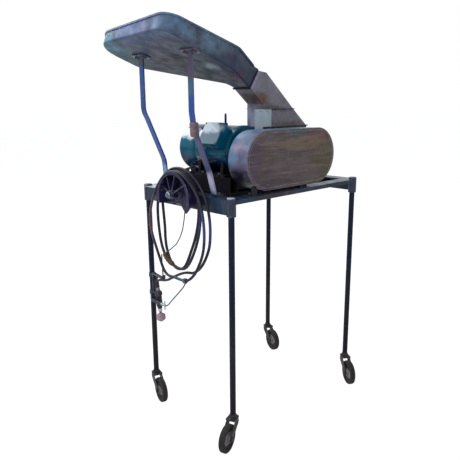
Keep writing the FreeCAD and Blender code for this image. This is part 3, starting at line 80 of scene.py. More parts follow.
class Axis(Enum):
    """Directions that a turned piece can stand along."""

    UP = (0.0, 0.0, 1.0)
    FRONT = (0.0, -1.0, 0.0)
    BACK = (0.0, 1.0, 0.0)
    LEFT = (-1.0, 0.0, 0.0)

    @property
    def vector(self) -> Vector:
        """The direction as a vector."""
        return Vector(self.value)


class Sum(Enum):
    """One step of arithmetic on two values."""

    ADD = "ADD"
    TIMES = "MULTIPLY"
    HIGHER = "MAXIMUM"


class Run(Enum):
    """How a curve runs along its control points."""

    STRAIGHT = "POLY"
    SMOOTH = "NURBS"


@dataclass(frozen=True)
class StainOrPaintedLight:
    """A soft coloured mark on a surface: a real stain, or on some finishes a painted highlight or painted shade.

    Its centre is a place of the stand's own frame and its reach the half extent along each
    axis, both in millimetres.
    """

    centre: Point
    reach: Point
    colour: Colour
    strength: float = 0.7
    soft: float = 0.6


@dataclass(frozen=True)
class Fade:
    """A change of colour with height, in metres above the floor."""

    colour: Colour
    start: float
    end: float
    strength: float = 1.0


class Tree:
    """Adds and links the nodes of a material or a world by short calls."""

    def __init__(self, owner: bpy.types.ID) -> None:
        """Starts an empty tree.

        Args:
            owner: Material or world that the tree belongs to.
        """
        owner.use_nodes = True
        self.tree = owner.node_tree
        self.tree.nodes.clear()

    def add(self, kind: str, inputs: dict[str | int, object] | None = None,
            **settings: object) -> bpy.types.Node:
        """Adds a node.

        Args:
            kind: Its kind, without the leading ShaderNode.
            inputs: Links or plain values for its inputs, by name or number.
            settings: Its own choices, such as operation.

        Returns:
            The new node.
        """
        node = self.tree.nodes.new("ShaderNode" + kind)
        for name, value in settings.items():
            setattr(node, name, value)
        for name, value in (inputs or {}).items():
            self.set(node.inputs[name], value)
        return node

    def set(self, socket: Socket, value: object) -> None:
        """Links a socket to another, or writes a plain value on it.

        Args:
            socket: The input.
            value: An output socket, a number, a vector or a colour.
        """
        if isinstance(value, Socket):
            self.tree.links.new(value, socket)
        elif isinstance(value, tuple) and socket.type == "RGBA":
            socket.default_value = (*value, 1.0)
        else:
            socket.default_value = value

    def sum(self, kind: Sum, first: object, second: object) -> Socket:
        """Returns the result of one step of arithmetic on two values."""
        return self.add("Math", {0: first, 1: second}, operation=kind.value).outputs[0]


class Nodes(Tree):
    """The node tree of one finish, with the patterns that finishes are made of."""

    coat_roughness = 0.06
    ragged_scale = 22.0
    ragged_share = 0.28

    def __init__(self, name: str) -> None:
        """Starts a material with its shader.

        Args:
            name: Name of the material.
        """
        self.material = bpy.data.materials.new(name)
        super().__init__(self.material)
        self.shader = self.add("BsdfPrincipled")
        self.add("OutputMaterial", {"Surface": self.shader.outputs[0]})
        self.object = self.add("TexCoord").outputs["Object"]

    def moved(self, stretch: Point, shift: Point = (0.0, 0.0, 0.0)) -> Socket:
        """Returns the object's coordinates stretched and shifted.

        Args:
            stretch: Factor along each axis.
            shift: Shift along each axis, after the factor.
        """
        return self.add("Mapping", {"Vector": self.object, "Scale": stretch, "Location": shift}).outputs[0]

    def noise(self, scale: float, detail: float = 3.0, rough: float = 0.55,
              stretch: Point = (1.0, 1.0, 1.0), shift: float = 0.0, warp: float = 0.0) -> Socket:
        """Adds a cloud pattern.

        Args:
            scale: Clouds per metre, about.
            detail: Number of finer layers.
            rough: Share that each finer layer keeps.
            stretch: Factor along each axis, above 1 for finer.
            shift: Moves the pattern, to make another like it.
            warp: How much the pattern is pulled about.

        Returns:
            The pattern, from 0 to 1.
        """
        return self.add("TexNoise", {
            "Vector": self.moved(stretch, (shift, shift * 0.7, -shift)), "Scale": scale,
            "Detail": detail, "Roughness": rough, "Distortion": warp}).outputs[0]

    def cells(self, scale: float, stretch: Point) -> Socket:
        """Returns the distance to the nearest of scattered points, for grain and pits."""
        return self.add("TexVoronoi", {"Vector": self.moved(stretch), "Scale": scale}).outputs["Distance"]

    def band(self, value: Socket, low: float, high: float, start: float = 0.0, end: float = 1.0) -> Socket:
        """Adds a smooth step of a value.

        Args:
            value: What is stepped.
            low: Where the step begins.
            high: Where the step ends.
            start: Result below low.
            end: Result above high.

        Returns:
            The stepped value.
        """
        return self.add("MapRange", {
            "From Min": low, "From Max": high, "To Min": start, "To Max": end, "Value": value},
            interpolation_type="SMOOTHSTEP").outputs[0]

    def mix(self, share: object, first: object, second: object) -> Socket:
        """Returns two colours mixed.

        Args:
            share: Share of the second, a number or a pattern.
            first: First colour.
            second: Second colour.
        """
        return self.add("Mix", {0: share, 6: first, 7: second}, data_type="RGBA").outputs[2]

    def height(self, scale: float, wander: float) -> Socket:
        """Returns the height above the floor, made to wander a little.

        Args:
            scale: Fineness of the wandering.
            wander: How far it wanders, in metres.
        """
        level = self.add("SeparateXYZ", {0: self.object}).outputs[2]
        return self.sum(Sum.ADD, level, self.band(self.noise(scale, 3.0), 0.3, 0.7, -wander, wander))

    def near(self, centre: Vector, reach: Point, soft: float) -> Socket:
        """Marks a place, with a ragged border.

        Args:
            centre: The place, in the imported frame.
            reach: Half extent along each axis.
            soft: Share of the reach over which it fades.

        Returns:
            1 round the place and 0 away from it.
        """
        stretch = tuple(1 / value for value in reach)
        shift = tuple(-value * factor for value, factor in zip(centre, stretch))
        far = self.add("VectorMath", {0: self.moved(stretch, shift)}, operation="LENGTH").outputs["Value"]
        ragged = self.band(self.noise(self.ragged_scale, 4.0), 0.3, 0.7, -self.ragged_share, self.ragged_share)
        return self.band(self.sum(Sum.ADD, far, ragged), 1.0 - soft, 1.0 + soft * 0.4, 1.0, 0.0)

    def with_stains_and_painted_light(self, colour: object, stains_and_painted_light: tuple[StainOrPaintedLight, ...]) -> object:
        """Lays stains, painted highlights and painted shade on a colour, one after the other.

        Args:
            colour: Colour or pattern under them.
            stains_and_painted_light: The real stains, and the painted highlights and painted shade.

        Returns:
            The colour with its stains and painted light.
        """
        # Besides real stains, some of these marks are painted highlights and painted shade.
        for stain_or_light in stains_and_painted_light:
            centre = place(*(value * MM for value in stain_or_light.centre))
            share = self.near(centre, tuple(value * MM for value in stain_or_light.reach), stain_or_light.soft)
            colour = self.mix(self.sum(Sum.TIMES, share, stain_or_light.strength), colour, stain_or_light.colour)
        return colour

    def edges(self, radius: float) -> Socket:
        """Marks sharp edges.

        Args:
            radius: Width that the mark takes, in metres.

        Returns:
            1 along sharp edges and 0 on flat and gently curved faces.
        """
        rounded = self.add("Bevel", {"Radius": radius}, samples=4).outputs[0]
        plain = self.add("NewGeometry").outputs["Normal"]
        likeness = self.add("VectorMath", {0: rounded, 1: plain}, operation="DOT_PRODUCT").outputs["Value"]
        return self.band(likeness, 0.8, 0.97, 1.0, 0.0)

    def bump(self, height: Socket, strength: float, distance: float, over: Socket | None = None) -> Socket:
        """Bends the surface by a height pattern.

        Args:
            height: The pattern.
            strength: Share of the full effect.
            distance: Height of the pattern in metres.
            over: A bump that this one lies on.

        Returns:
            A normal that follows the pattern.
        """
        inputs = {"Strength": strength, "Distance": distance, "Height": height}
        if over is not None:
            inputs["Normal"] = over
        return self.add("Bump", inputs).outputs[0]

    def finish(self, colour: object, roughness: object, metallic: object, normal: Socket,
               coat: float = 0.0, shine: float = 0.5) -> bpy.types.Material:
        """Writes the shader's inputs.

        Args:
            colour: Colour or pattern.
            roughness: Number or pattern.
            metallic: Number or pattern.
            normal: Bump.
            coat: Share of clear gloss on top.
            shine: How strongly the surface mirrors, 0.5 for plain varnish.

        Returns:
            The finished material.
        """
        values = {"Base Color": colour, "Roughness": roughness, "Metallic": metallic, "Normal": normal,
                  "Specular IOR Level": shine}
        if coat:
            values.update({"Coat Weight": coat, "Coat Roughness": self.coat_roughness})
        for name, value in values.items():
            self.set(self.shader.inputs[name], value)
        return self.material


@dataclass(frozen=True)
class Paint:
    """Old paint on steel: broad patches, mottling, chips along edges, stains, and on some finishes painted
    highlights and painted shade.
    """

    name: str
    colour: Colour
    patch: Colour
    chip: Colour = rgb(96, 70, 58)
    dark: Colour = rgb(32, 30, 36)
    bright: Colour = rgb(132, 138, 146)
    patch_scale: float = 7.0
    mottle_scale: float = 45.0
    mottle: float = 0.35
    grime: float = 0.35
    chips: float = 0.5
    edge: float = 0.0025
    rough: float = 0.45
    coat: float = 0.0
    shine: float = 0.22
    grain: Point = (1.0, 1.0, 1.0)
    relief: float = 0.0006
    stains_and_painted_light: tuple[StainOrPaintedLight, ...] = ()
    fades: tuple[Fade, ...] = ()

    def build(self) -> bpy.types.Material:
        """Lays patches, fades, stains, painted highlights and painted shade, mottling, dirt and chips on each other.

        Returns:
            The material.
        """
        n = Nodes(self.name)
        broad = n.band(n.noise(self.patch_scale, 3.0, 0.6, warp=0.6), 0.4, 0.62)
        colour = n.mix(broad, self.colour, self.patch)
        # Some fades darken a part towards its lower side as painted shade; others are two-tone paint.
        for fade in self.fades:
            share = n.band(n.height(14.0, 0.02), fade.start, fade.end, 0.0, fade.strength)
            colour = n.mix(share, colour, fade.colour)
        colour = n.with_stains_and_painted_light(colour, self.stains_and_painted_light)
        fine = n.noise(self.mottle_scale, 6.0, 0.68, self.grain, shift=3.1)
        colour = n.mix(n.band(fine, 0.35, 0.75, 0.0, self.mottle), colour, self.dark)
        lighter = n.noise(self.mottle_scale * 0.55, 5.0, 0.6, self.grain, shift=8.4)
        colour = n.mix(n.band(lighter, 0.55, 0.8, 0.0, self.mottle * 0.6), colour, self.bright)
        dirt = n.band(n.noise(11.0, 8.0, 0.72, shift=5.2), 0.5, 0.78, 0.0, self.grime)
        colour = n.mix(dirt, colour, self.dark)
        rubbed = n.band(n.noise(30.0, 4.0, 0.6, shift=1.7), 0.42, 0.6, 0.0, self.chips)
        worn = n.sum(Sum.TIMES, n.edges(self.edge), rubbed)
        colour = n.mix(worn, colour, self.chip)
        flakes = n.band(n.noise(65.0, 3.0, 0.5, shift=6.3), 0.68, 0.72, 0.0, self.chips * 0.8)
        colour = n.mix(flakes, colour, self.chip)
        roughness = n.band(n.noise(25.0, 4.0, 0.6, shift=2.2), 0.3, 0.75,
                           self.rough * 0.8, min(1.0, self.rough * 1.35))
        roughness = n.sum(Sum.ADD, roughness, n.sum(Sum.TIMES, n.sum(Sum.HIGHER, worn, dirt), 0.25))
        normal = n.bump(flakes, 0.35, self.relief * 0.6, n.bump(fine, 0.5, self.relief))
        return n.finish(colour, roughness, 0.0, normal, self.coat, self.shine)


@dataclass(frozen=True)
class Metal:
    """Bare metal: turned, cast or plated, with tarnish."""

    name: str
    colour: Colour
    tarnish: Colour
    rough: float
    tarnish_share: float
    brushed: Point = (1.0, 1.0, 1.0)
    relief: float = 0.0002

    def build(self) -> bpy.types.Material:
        """Lays tarnish over brushed metal.

        Returns:
            The material.
        """
        n = Nodes(self.name)
        old = n.band(n.noise(28.0, 6.0, 0.65), 0.42, 0.68, 0.0, self.tarnish_share)
        lines = n.noise(220.0, 3.0, 0.6, self.brushed, shift=4.0)
        colour = n.mix(n.band(lines, 0.35, 0.7, 0.0, 0.35), self.colour, self.tarnish)
        colour = n.mix(old, colour, self.tarnish)
        roughness = n.sum(Sum.ADD, n.band(lines, 0.3, 0.7, self.rough * 0.8, self.rough * 1.2),
                          n.sum(Sum.TIMES, old, 0.35))
        return n.finish(colour, roughness, n.band(old, 0.0, 0.6, 1.0, 0.45), n.bump(lines, 0.4, self.relief))


@dataclass(frozen=True)
class Soft:
    """Rubber, plastic, cord or leather: one colour with dust, rub marks and a fine grain."""

    name: str
    colour: Colour
    dust: Colour
    dusty: float
    rough: float
    grain_scale: float
    relief: float
    grain: Point = (1.0, 1.0, 1.0)
    shine: float = 0.22
    stains_and_painted_light: tuple[StainOrPaintedLight, ...] = ()

    def build(self) -> bpy.types.Material:
        """Lays dust, stains, painted highlights and grain on one colour.

        Returns:
            The material.
        """
        n = Nodes(self.name)
        clouds = n.band(n.noise(24.0, 5.0, 0.65), 0.4, 0.75, 0.0, self.dusty)
        colour = n.with_stains_and_painted_light(n.mix(clouds, self.colour, self.dust), self.stains_and_painted_light)
        grain = n.cells(self.grain_scale, self.grain)
        colour = n.mix(n.band(grain, 0.2, 0.7, 0.0, 0.3), colour, self.dust)
        roughness = n.band(clouds, 0.0, 0.5, self.rough, min(1.0, self.rough + 0.2))
        return n.finish(colour, roughness, 0.0, n.bump(grain, 0.45, self.relief), shine=self.shine)


@dataclass(frozen=True)
class Rubbed:
    """The belt guard's front: paint rubbed thin in long strokes, with tints that show through."""

    name: str
    colour: Colour
    under: Colour
    streak: Colour
    stains_and_painted_light: tuple[StainOrPaintedLight, ...]
    dark: Colour = rgb(44, 34, 38)
    speck: Colour = rgb(48, 42, 44)
    rim: Colour = rgb(150, 148, 158)
    edge: float = 0.0035
    shine: float = 0.22

    def build(self) -> bpy.types.Material:
        """Lays long strokes, specks and a worn rim on the stained ground.

        Returns:
            The material.
        """
        n = Nodes(self.name)
        broad = n.band(n.noise(9.0, 4.0, 0.6, warp=0.8), 0.4, 0.65)
        colour = n.with_stains_and_painted_light(n.mix(broad, self.colour, self.under), self.stains_and_painted_light)
        strokes = n.noise(14.0, 5.0, 0.65, (0.7, 1.0, 8.0), shift=2.6, warp=0.3)
        colour = n.mix(n.band(strokes, 0.5, 0.70, 0.0, 0.62), colour, self.streak)
        colour = n.mix(n.band(strokes, 0.48, 0.34, 0.0, 0.55), colour, self.dark)
        specks = n.noise(70.0, 5.0, 0.6, shift=9.0)
        colour = n.mix(n.band(specks, 0.5, 0.75, 0.0, 0.4), colour, self.speck)
        worn = n.sum(Sum.TIMES, n.edges(self.edge), n.band(n.noise(28.0, 4.0), 0.3, 0.55, 0.35, 0.85))
        colour = n.mix(worn, colour, self.rim)
        normal = n.bump(specks, 0.3, 0.0003, n.bump(strokes, 0.4, 0.0007))
        return n.finish(colour, n.band(strokes, 0.3, 0.7, 0.42, 0.66), 0.0, normal, shine=self.shine)


@dataclass(frozen=True)
class Winding:
    """Varnished wire over stacked core plates."""

    name: str
    copper: Colour
    iron: Colour
    plates: float = 160.0

    def build(self) -> bpy.types.Material:
        """Lays the core's plates over the wire's colour.

        Returns:
            The material.
        """
        n = Nodes(self.name)
        waves = n.add("TexWave", {"Scale": self.plates, "Vector": n.object}, bands_direction="Y").outputs[1]
        colour = n.mix(n.band(n.noise(180.0, 4.0, 0.6), 0.35, 0.7), self.copper, self.iron)
        colour = n.mix(n.band(waves, 0.2, 0.8, 0.0, 0.4), colour, self.iron)
        return n.finish(colour, 0.4, 0.6, n.bump(waves, 0.3, 0.0004))


FINISHES: dict[str, Paint | Metal | Soft | Rubbed | Winding] = {
    "rails": Paint(
        "rail_paint", rgb(30, 50, 71), rgb(16, 33, 50), chip=rgb(92, 74, 66), mottle=0.35, shine=0.15, rough=0.38,
        coat=0.2,
        stains_and_painted_light=(
            StainOrPaintedLight((-20, 200, 880), (40, 120, 30), rgb(30, 24, 44), 0.6),
            StainOrPaintedLight((220, -10, 890), (120, 40, 30), rgb(56, 36, 42), 0.6),
            StainOrPaintedLight((600, -10, 890), (140, 50, 40), rgb(16, 34, 52), 0.7),
            # Painted highlight: the pale patch on the rail's top at the back left corner.
            StainOrPaintedLight((-5, 420, 900), (50, 70, 3), rgb(190, 200, 212), 0.8, 0.3))),
    "sockets": Paint(
        "socket_paint", rgb(40, 51, 76), rgb(28, 37, 54), chip=rgb(150, 145, 150), chips=0.6, rough=0.3, coat=0.3,
        stains_and_painted_light=(
            # Painted highlight: the pale patch on the front left cap's top is its glint.
            StainOrPaintedLight((-4, -4, 909), (14, 14, 6), rgb(186, 192, 204), 0.8, 0.3),)),
    "legs": Paint(
        "leg_paint", rgb(10, 26, 50), rgb(16, 26, 44), dark=rgb(10, 10, 16), mottle=0.4, shine=0.10,
        bright=rgb(62, 72, 90), rough=0.42, patch_scale=5.0, grain=(1.0, 1.0, 0.35),
        fades=(
            Fade(rgb(28, 27, 34), 0.62, 0.34), Fade(rgb(30, 22, 27), 0.30, 0.12, 0.8))),
    "under": Paint(
        "bearer_paint", rgb(10, 12, 20), rgb(16, 14, 20), dark=rgb(6, 6, 10), grime=0.6, rough=0.7, shine=0.08,
        bright=rgb(34, 36, 44)),
    "feet": Paint(
        "motor_foot_paint", rgb(8, 18, 34), rgb(12, 12, 22), dark=rgb(6, 6, 10), grime=0.6, rough=0.5, shine=0.1,
        bright=rgb(34, 40, 56)),
    "forks": Paint(
        "caster_black", rgb(24, 22, 26), rgb(36, 32, 34), chip=rgb(110, 104, 104), rough=0.5, grime=0.5,
        bright=rgb(90, 88, 92)),
    "tyres": Soft(
        "tyre_rubber", rgb(18, 15, 17), rgb(62, 54, 50), 0.35, 0.75, 240.0, 0.0004,
        stains_and_painted_light=tuple(StainOrPaintedLight(spot, (30, 30, 21), rgb(128, 124, 126), 0.85, 0.15) for spot in (
            (-45, -16.5, 64), (654.5, -40.7, 64), (-12.5, 411.6, 64), (666, 412.1, 64)))),
    "enamel": Paint(
        "motor_enamel", rgb(4, 84, 104), rgb(2, 60, 90), chip=rgb(40, 66, 84), dark=rgb(2, 24, 44), mottle=0.2,
        grime=0.15, chips=0.15, rough=0.14, coat=0.25, shine=0.05, relief=0.00005, patch_scale=5.0,
        bright=rgb(20, 104, 128),
        # Painted shade: both fades darken the motor's lower half towards near black.
        fades=(
            Fade(rgb(2, 22, 62), 1.030, 0.975, 0.9), Fade(rgb(4, 6, 24), 0.990, 0.968, 0.9)),
        # Painted highlight: the three near-white patches on the shell's top stand for the sky's reflection in the
        # gloss.
        stains_and_painted_light=(
            StainOrPaintedLight((112, 345, 1106), (58, 50, 32), rgb(214, 220, 226), 0.8, 0.4),
            StainOrPaintedLight((112, 262, 1110), (53, 50, 32), rgb(206, 216, 226), 0.8, 0.4),
            StainOrPaintedLight((75, 190, 1128), (58, 55, 28), rgb(196, 208, 220), 0.78, 0.4))),
    "guard_band": Paint(
        "guard_band_paint", rgb(104, 131, 168), rgb(98, 116, 142), rough=0.36, mottle=0.2, grime=0.25,
        patch_scale=8.0, bright=rgb(124, 130, 150),
        stains_and_painted_light=(
            StainOrPaintedLight((85, 50, 1060), (20, 30, 30), rgb(150, 130, 150), 0.6),
            StainOrPaintedLight((76, 30, 1035), (20, 30, 22), rgb(74, 56, 96), 0.6)),
        # Painted shade: both fades darken the band towards its lower side, purple and then near black.
        fades=(
            Fade(rgb(90, 82, 104), 1.02, 0.975, 0.9), Fade(rgb(6, 6, 22), 0.985, 0.945))),
    "guard_front": Rubbed(
        "guard_front_paint", rgb(84, 71, 74), rgb(72, 64, 60), rgb(114, 96, 92),
        stains_and_painted_light=(
            StainOrPaintedLight((90, 0, 1020), (60, 50, 120), rgb(68, 52, 74), 0.75),
            StainOrPaintedLight((360, 0, 1100), (120, 50, 25), rgb(50, 78, 76), 0.65),
            StainOrPaintedLight((430, 0, 1075), (70, 50, 40), rgb(106, 58, 58), 0.6),
            StainOrPaintedLight((500, 0, 1000), (80, 50, 100), rgb(76, 70, 42), 0.7),
            StainOrPaintedLight((200, 0, 930), (120, 50, 30), rgb(52, 44, 52), 0.6),
            StainOrPaintedLight((330, 0, 1060), (170, 50, 26), rgb(104, 90, 72), 0.6))),
    "duct": Paint(
        "duct_paint", rgb(112, 109, 118), rgb(114, 108, 114), chip=rgb(92, 72, 60), mottle=0.35, grime=0.35,
        rough=0.55,
        stains_and_painted_light=(
            StainOrPaintedLight((235, 130, 1215), (50, 70, 28), rgb(66, 58, 54), 0.85),
            StainOrPaintedLight((262, 110, 1212), (30, 50, 18), rgb(98, 62, 42), 0.75),
            StainOrPaintedLight((290, 110, 1185), (70, 50, 14), rgb(66, 62, 60), 0.8),
            StainOrPaintedLight((330, 110, 1270), (40, 50, 30), rgb(120, 120, 140), 0.5),
            StainOrPaintedLight((258, 150, 1155), (30, 70, 45), rgb(150, 152, 180), 0.8),
            StainOrPaintedLight((400, 110, 1125), (100, 50, 12), rgb(74, 66, 50), 0.7))),
    "bracket": Paint(
        "bracket_paint", rgb(156, 172, 178), rgb(166, 178, 188), chip=rgb(120, 112, 104), mottle=0.15, grime=0.12,
        rough=0.5, bright=rgb(190, 200, 204)),
    "flange": Paint(
        "flange_paint", rgb(128, 124, 150), rgb(112, 116, 138), chip=rgb(150, 146, 150), mottle=0.2, grime=0.2,
        rough=0.5),
    "tray": Paint(
        "tray_paint", rgb(60, 79, 94), rgb(70, 65, 82), dark=rgb(28, 30, 46), mottle=0.62, grime=0.6, shine=0.15,
        rough=0.5, patch_scale=7.5, mottle_scale=34.0, chips=0.25, relief=0.0012, bright=rgb(120, 132, 142),
        fades=(
            Fade(rgb(28, 38, 54), 1.375, 1.300, 0.58),),
        stains_and_painted_light=(
            StainOrPaintedLight((-80, 30, 1440), (140, 50, 50), rgb(100, 126, 148), 0.75, 0.9),
            StainOrPaintedLight((-200, 220, 1440), (75, 190, 70), rgb(80, 102, 148), 0.75, 0.9),
            StainOrPaintedLight((-170, 420, 1410), (90, 80, 90), rgb(84, 136, 152), 0.7, 0.9),
            StainOrPaintedLight((-180, 50, 1420), (70, 60, 50), rgb(84, 116, 142), 0.7, 0.9),
            StainOrPaintedLight((-20, 40, 1390), (130, 30, 45), rgb(92, 116, 134), 0.75, 0.9),
            StainOrPaintedLight((100, 60, 1325), (100, 50, 45), rgb(44, 56, 78), 0.8, 0.9),
            StainOrPaintedLight((114, 96, 1292), (35, 40, 30), rgb(78, 36, 62), 0.9, 0.8),
            StainOrPaintedLight((180, 110, 1290), (50, 50, 50), rgb(42, 50, 70), 0.75, 0.9),
            StainOrPaintedLight((-30, 260, 1345), (70, 90, 60), rgb(60, 50, 58), 0.8, 0.9),
            StainOrPaintedLight((28, 118, 1325), (45, 35, 30), rgb(120, 138, 142), 0.95, 0.7),
            StainOrPaintedLight((-48, 181, 1353), (26, 35, 30), rgb(24, 22, 36), 0.95, 0.7),
            StainOrPaintedLight((-20, 140, 1343), (22, 35, 30), rgb(24, 22, 36), 0.95, 0.7),
            StainOrPaintedLight((-100, 90, 1373), (30, 35, 30), rgb(56, 84, 82), 0.7, 0.9),
            StainOrPaintedLight((0, 420, 1335), (50, 60, 30), rgb(44, 58, 60), 0.8, 0.9),
            StainOrPaintedLight((-70, 430, 1360), (70, 60, 40), rgb(58, 86, 84), 0.6, 0.9),
            StainOrPaintedLight((100, 210, 1295), (100, 60, 30), rgb(38, 58, 50), 0.9, 0.8))),
    "struts": Paint(
        "strut_paint", rgb(28, 66, 136), rgb(20, 56, 112), chip=rgb(112, 126, 152), rough=0.4, chips=0.25,
        mottle=0.25, coat=0.15, bright=rgb(96, 118, 168),
        stains_and_painted_light=(
            # Painted shade: the first two marks darken the strut tops where they sit under the tray.
            StainOrPaintedLight((-80, 85, 1340), (60, 60, 70), rgb(64, 54, 72), 0.95, 0.15),
            StainOrPaintedLight((-75, 343, 1365), (70, 60, 50), rgb(52, 62, 74), 0.95, 0.15),
            StainOrPaintedLight((-84, 85, 1245), (20, 20, 30), rgb(62, 96, 100), 0.7),
            StainOrPaintedLight((-30, 85, 1035), (90, 30, 85), rgb(66, 64, 92), 0.85, 0.4),
            StainOrPaintedLight((-5, 85, 945), (30, 20, 45), rgb(176, 172, 192), 0.8),
            StainOrPaintedLight((-6, 343, 950), (30, 20, 50), rgb(120, 156, 200), 0.7),
            StainOrPaintedLight((14, 85, 903), (30, 30, 7), rgb(30, 40, 56), 0.95, 0.2),
            StainOrPaintedLight((14, 343, 903), (30, 30, 7), rgb(30, 40, 56), 0.95, 0.2))),
    "clamp": Paint("clamp_paint", rgb(112, 84, 90), rgb(84, 68, 82), chip=rgb(170, 150, 150), rough=0.5, mottle=0.4),
    "casing": Paint(
        "casing_iron", rgb(62, 62, 68), rgb(50, 50, 54), chip=rgb(104, 78, 60), mottle=0.5, grime=0.5, rough=0.7,
        relief=0.0012, mottle_scale=120.0),
    "saddle": Paint(
        "saddle_paint", rgb(30, 25, 66), rgb(20, 16, 40), chip=rgb(112, 106, 138), chips=0.95, rough=0.42, coat=0.15,
        edge=0.0035, bright=rgb(70, 66, 92),
        stains_and_painted_light=(
            StainOrPaintedLight((-66, 200, 884), (20, 30, 30), rgb(88, 62, 70), 0.8, 0.3),)),
    "clip": Paint("clip_paint", rgb(52, 62, 72), rgb(40, 44, 58), chip=rgb(150, 156, 160), chips=0.7, rough=0.45),
    "grip": Soft("grip_plastic", rgb(28, 22, 32), rgb(66, 56, 66), 0.3, 0.45, 260.0, 0.0002),
    "sheath": Soft(
        "sheath_rubber", rgb(13, 11, 24), rgb(44, 40, 62), 0.22, 0.4, 380.0, 0.00015,
        stains_and_painted_light=(
            # Painted highlights: the first mark is a pinkish sheen on the back turns, the second a pale blue sheen
            # on the front turns.
            StainOrPaintedLight((-45, 375, 780), (50, 40, 160), rgb(104, 76, 80), 0.6),
            StainOrPaintedLight((-50, 75, 800), (50, 30, 60), rgb(60, 80, 140), 0.55),
            StainOrPaintedLight((-60, 190, 600), (30, 30, 20), rgb(40, 84, 100), 0.6))),
    "boot": Soft("boot_rubber", rgb(22, 20, 26), rgb(66, 60, 66), 0.3, 0.6, 300.0, 0.0002),
    "sleeve": Soft("sleeve_leather", rgb(52, 38, 30), rgb(112, 88, 56), 0.5, 0.7, 190.0, 0.0006),
    "tether": Soft("tether_cord", rgb(74, 74, 86), rgb(112, 110, 120), 0.4, 0.8, 520.0, 0.0004, (1.0, 1.0, 0.4)),
    "gland": Soft("gland_plastic", rgb(14, 40, 50), rgb(50, 72, 82), 0.3, 0.4, 420.0, 0.0001),
    "belt": Soft("belt_rubber", rgb(36, 34, 36), rgb(76, 72, 70), 0.4, 0.8, 320.0, 0.0003),
    "fan": Soft("fan_plastic", rgb(48, 48, 50), rgb(92, 88, 84), 0.4, 0.55, 320.0, 0.0002),
    "stone": Soft("stone_abrasive", rgb(104, 78, 92), rgb(190, 172, 178), 0.5, 0.95, 300.0, 0.0009),
    "shaft": Metal("shaft_steel", rgb(176, 176, 180), rgb(110, 104, 98), 0.28, 0.35, (1.0, 0.15, 1.0)),
    "bearing": Metal("bearing_steel", rgb(190, 190, 194), rgb(120, 116, 112), 0.2, 0.25),
    "ferrule": Metal("ferrule_steel", rgb(112, 112, 122), rgb(62, 56, 62), 0.4, 0.5),
    "key": Metal("key_steel", rgb(140, 160, 156), rgb(84, 102, 98), 0.42, 0.5),
    "pulley": Metal("pulley_iron", rgb(116, 116, 120), rgb(70, 62, 56), 0.45, 0.5),
    "bolts": Metal("bolt_zinc", rgb(92, 92, 98), rgb(62, 50, 48), 0.5, 0.6),
    "plate": Metal("plate_aluminium", rgb(120, 132, 140), rgb(70, 84, 96), 0.4, 0.5, (1.0, 8.0, 1.0)),
    "tie": Soft("tie_coating", rgb(34, 48, 84), rgb(70, 84, 118), 0.3, 0.5, 400.0, 0.0001),
    "seam": Soft("seam_filler", rgb(8, 10, 16), rgb(40, 40, 46), 0.3, 0.7, 300.0, 0.0002),
    "weld": Metal("weld_bead", rgb(64, 68, 80), rgb(40, 36, 42), 0.55, 0.7),
    "stud": Metal("hub_nut_steel", rgb(112, 118, 128), rgb(76, 70, 80), 0.45, 0.5),
    "winding": Winding("copper_winding", rgb(190, 112, 66), rgb(92, 88, 88)),
}

CORNERS = ("front_left", "front_right", "back_left", "back_right")
CAD_FINISH: dict[str, tuple[str, ...]] = {
    "rails": ("long_rails", "short_rails"),
    "sockets": ("corner_sockets",),
    "legs": ("legs",),
    "under": ("cross_bearers", "pedestal_rails"),
    "feet": ("motor_foot_base",),
    "forks": tuple("caster_fork_" + corner for corner in CORNERS),
    "tyres": tuple("caster_wheel_" + corner for corner in CORNERS),
    "enamel": ("motor_shell", "motor_front_shield", "motor_rear_shield", "motor_fan_cowl",
               "terminal_box", "terminal_lid", "lifting_eye"),
    "guard_band": ("guard_band", "guard_back_plate"),
    "guard_front": ("guard_front_plate",),
    "duct": ("chute_base", "chute_upper"),
    "bracket": ("chute_bracket",),
    "tray": ("feed_tray",),
    "struts": ("tray_struts",),
    "casing": ("rotor_casing", "rotor", "spindle_bearings", "coupling_housing"),
    "saddle": ("hanger_saddle",),
    "clip": ("handpiece_clip",),
    "grip": ("handpiece_body",),
    "gland": ("cable_gland",),
    "belt": ("v_belt",),
    "fan": ("motor_fan",),
    "stone": ("mounted_stone",),
    "shaft": ("motor_rotor", "spindle", "handpiece_spindle"),
    "bearing": ("motor_bearings", "handpiece_bearings", "chuck"),
    "ferrule": ("handpiece_ferrule",),
    "key": ("chuck_key",),
    "pulley": ("motor_pulley", "driven_pulley"),
    "bolts": ("hex_bolts", "guard_screws"),
    "stud": ("hanger_bolt",),
    "winding": ("motor_stator",),
}


class Palette:
    """Makes each finish once and gives it out by name."""

    def __init__(self) -> None:
        """Starts with no finish made."""
        self.made: dict[str, bpy.types.Material] = {}

    def get(self, name: str) -> bpy.types.Material:
        """Gives out a finish, made at its first use.

        Args:
            name: Its name in FINISHES.

        Returns:
            Its material.
        """
        if name not in self.made:
            self.made[name] = FINISHES[name].build()
        return self.made[name]

    def dress_cad(self) -> None:
        """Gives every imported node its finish."""
        for name, nodes in CAD_FINISH.items():
            for node in nodes:
                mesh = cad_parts[node].data
                mesh.materials.clear()
                mesh.materials.append(self.get(name))


def facing(base: Vector, axis: Vector) -> Matrix:
    """Returns the matrix that stands a piece modelled along Z at a base, along an axis."""
    return Matrix.Translation(base) @ axis.to_track_quat("Z", "Y").to_matrix().to_4x4()


def clear() -> None:
    """Deselects everything, so that an operator acts on the new piece alone."""
    if bpy.context.object and bpy.context.object.mode != "OBJECT":
        bpy.ops.object.mode_set(mode="OBJECT")
    bpy.ops.object.select_all(action="DESELECT")


def take(piece: Piece) -> None:
    """Selects one piece and makes it active.

    Args:
        piece: The piece.
    """
    clear()
    piece.select_set(True)
    bpy.context.view_layer.objects.active = piece


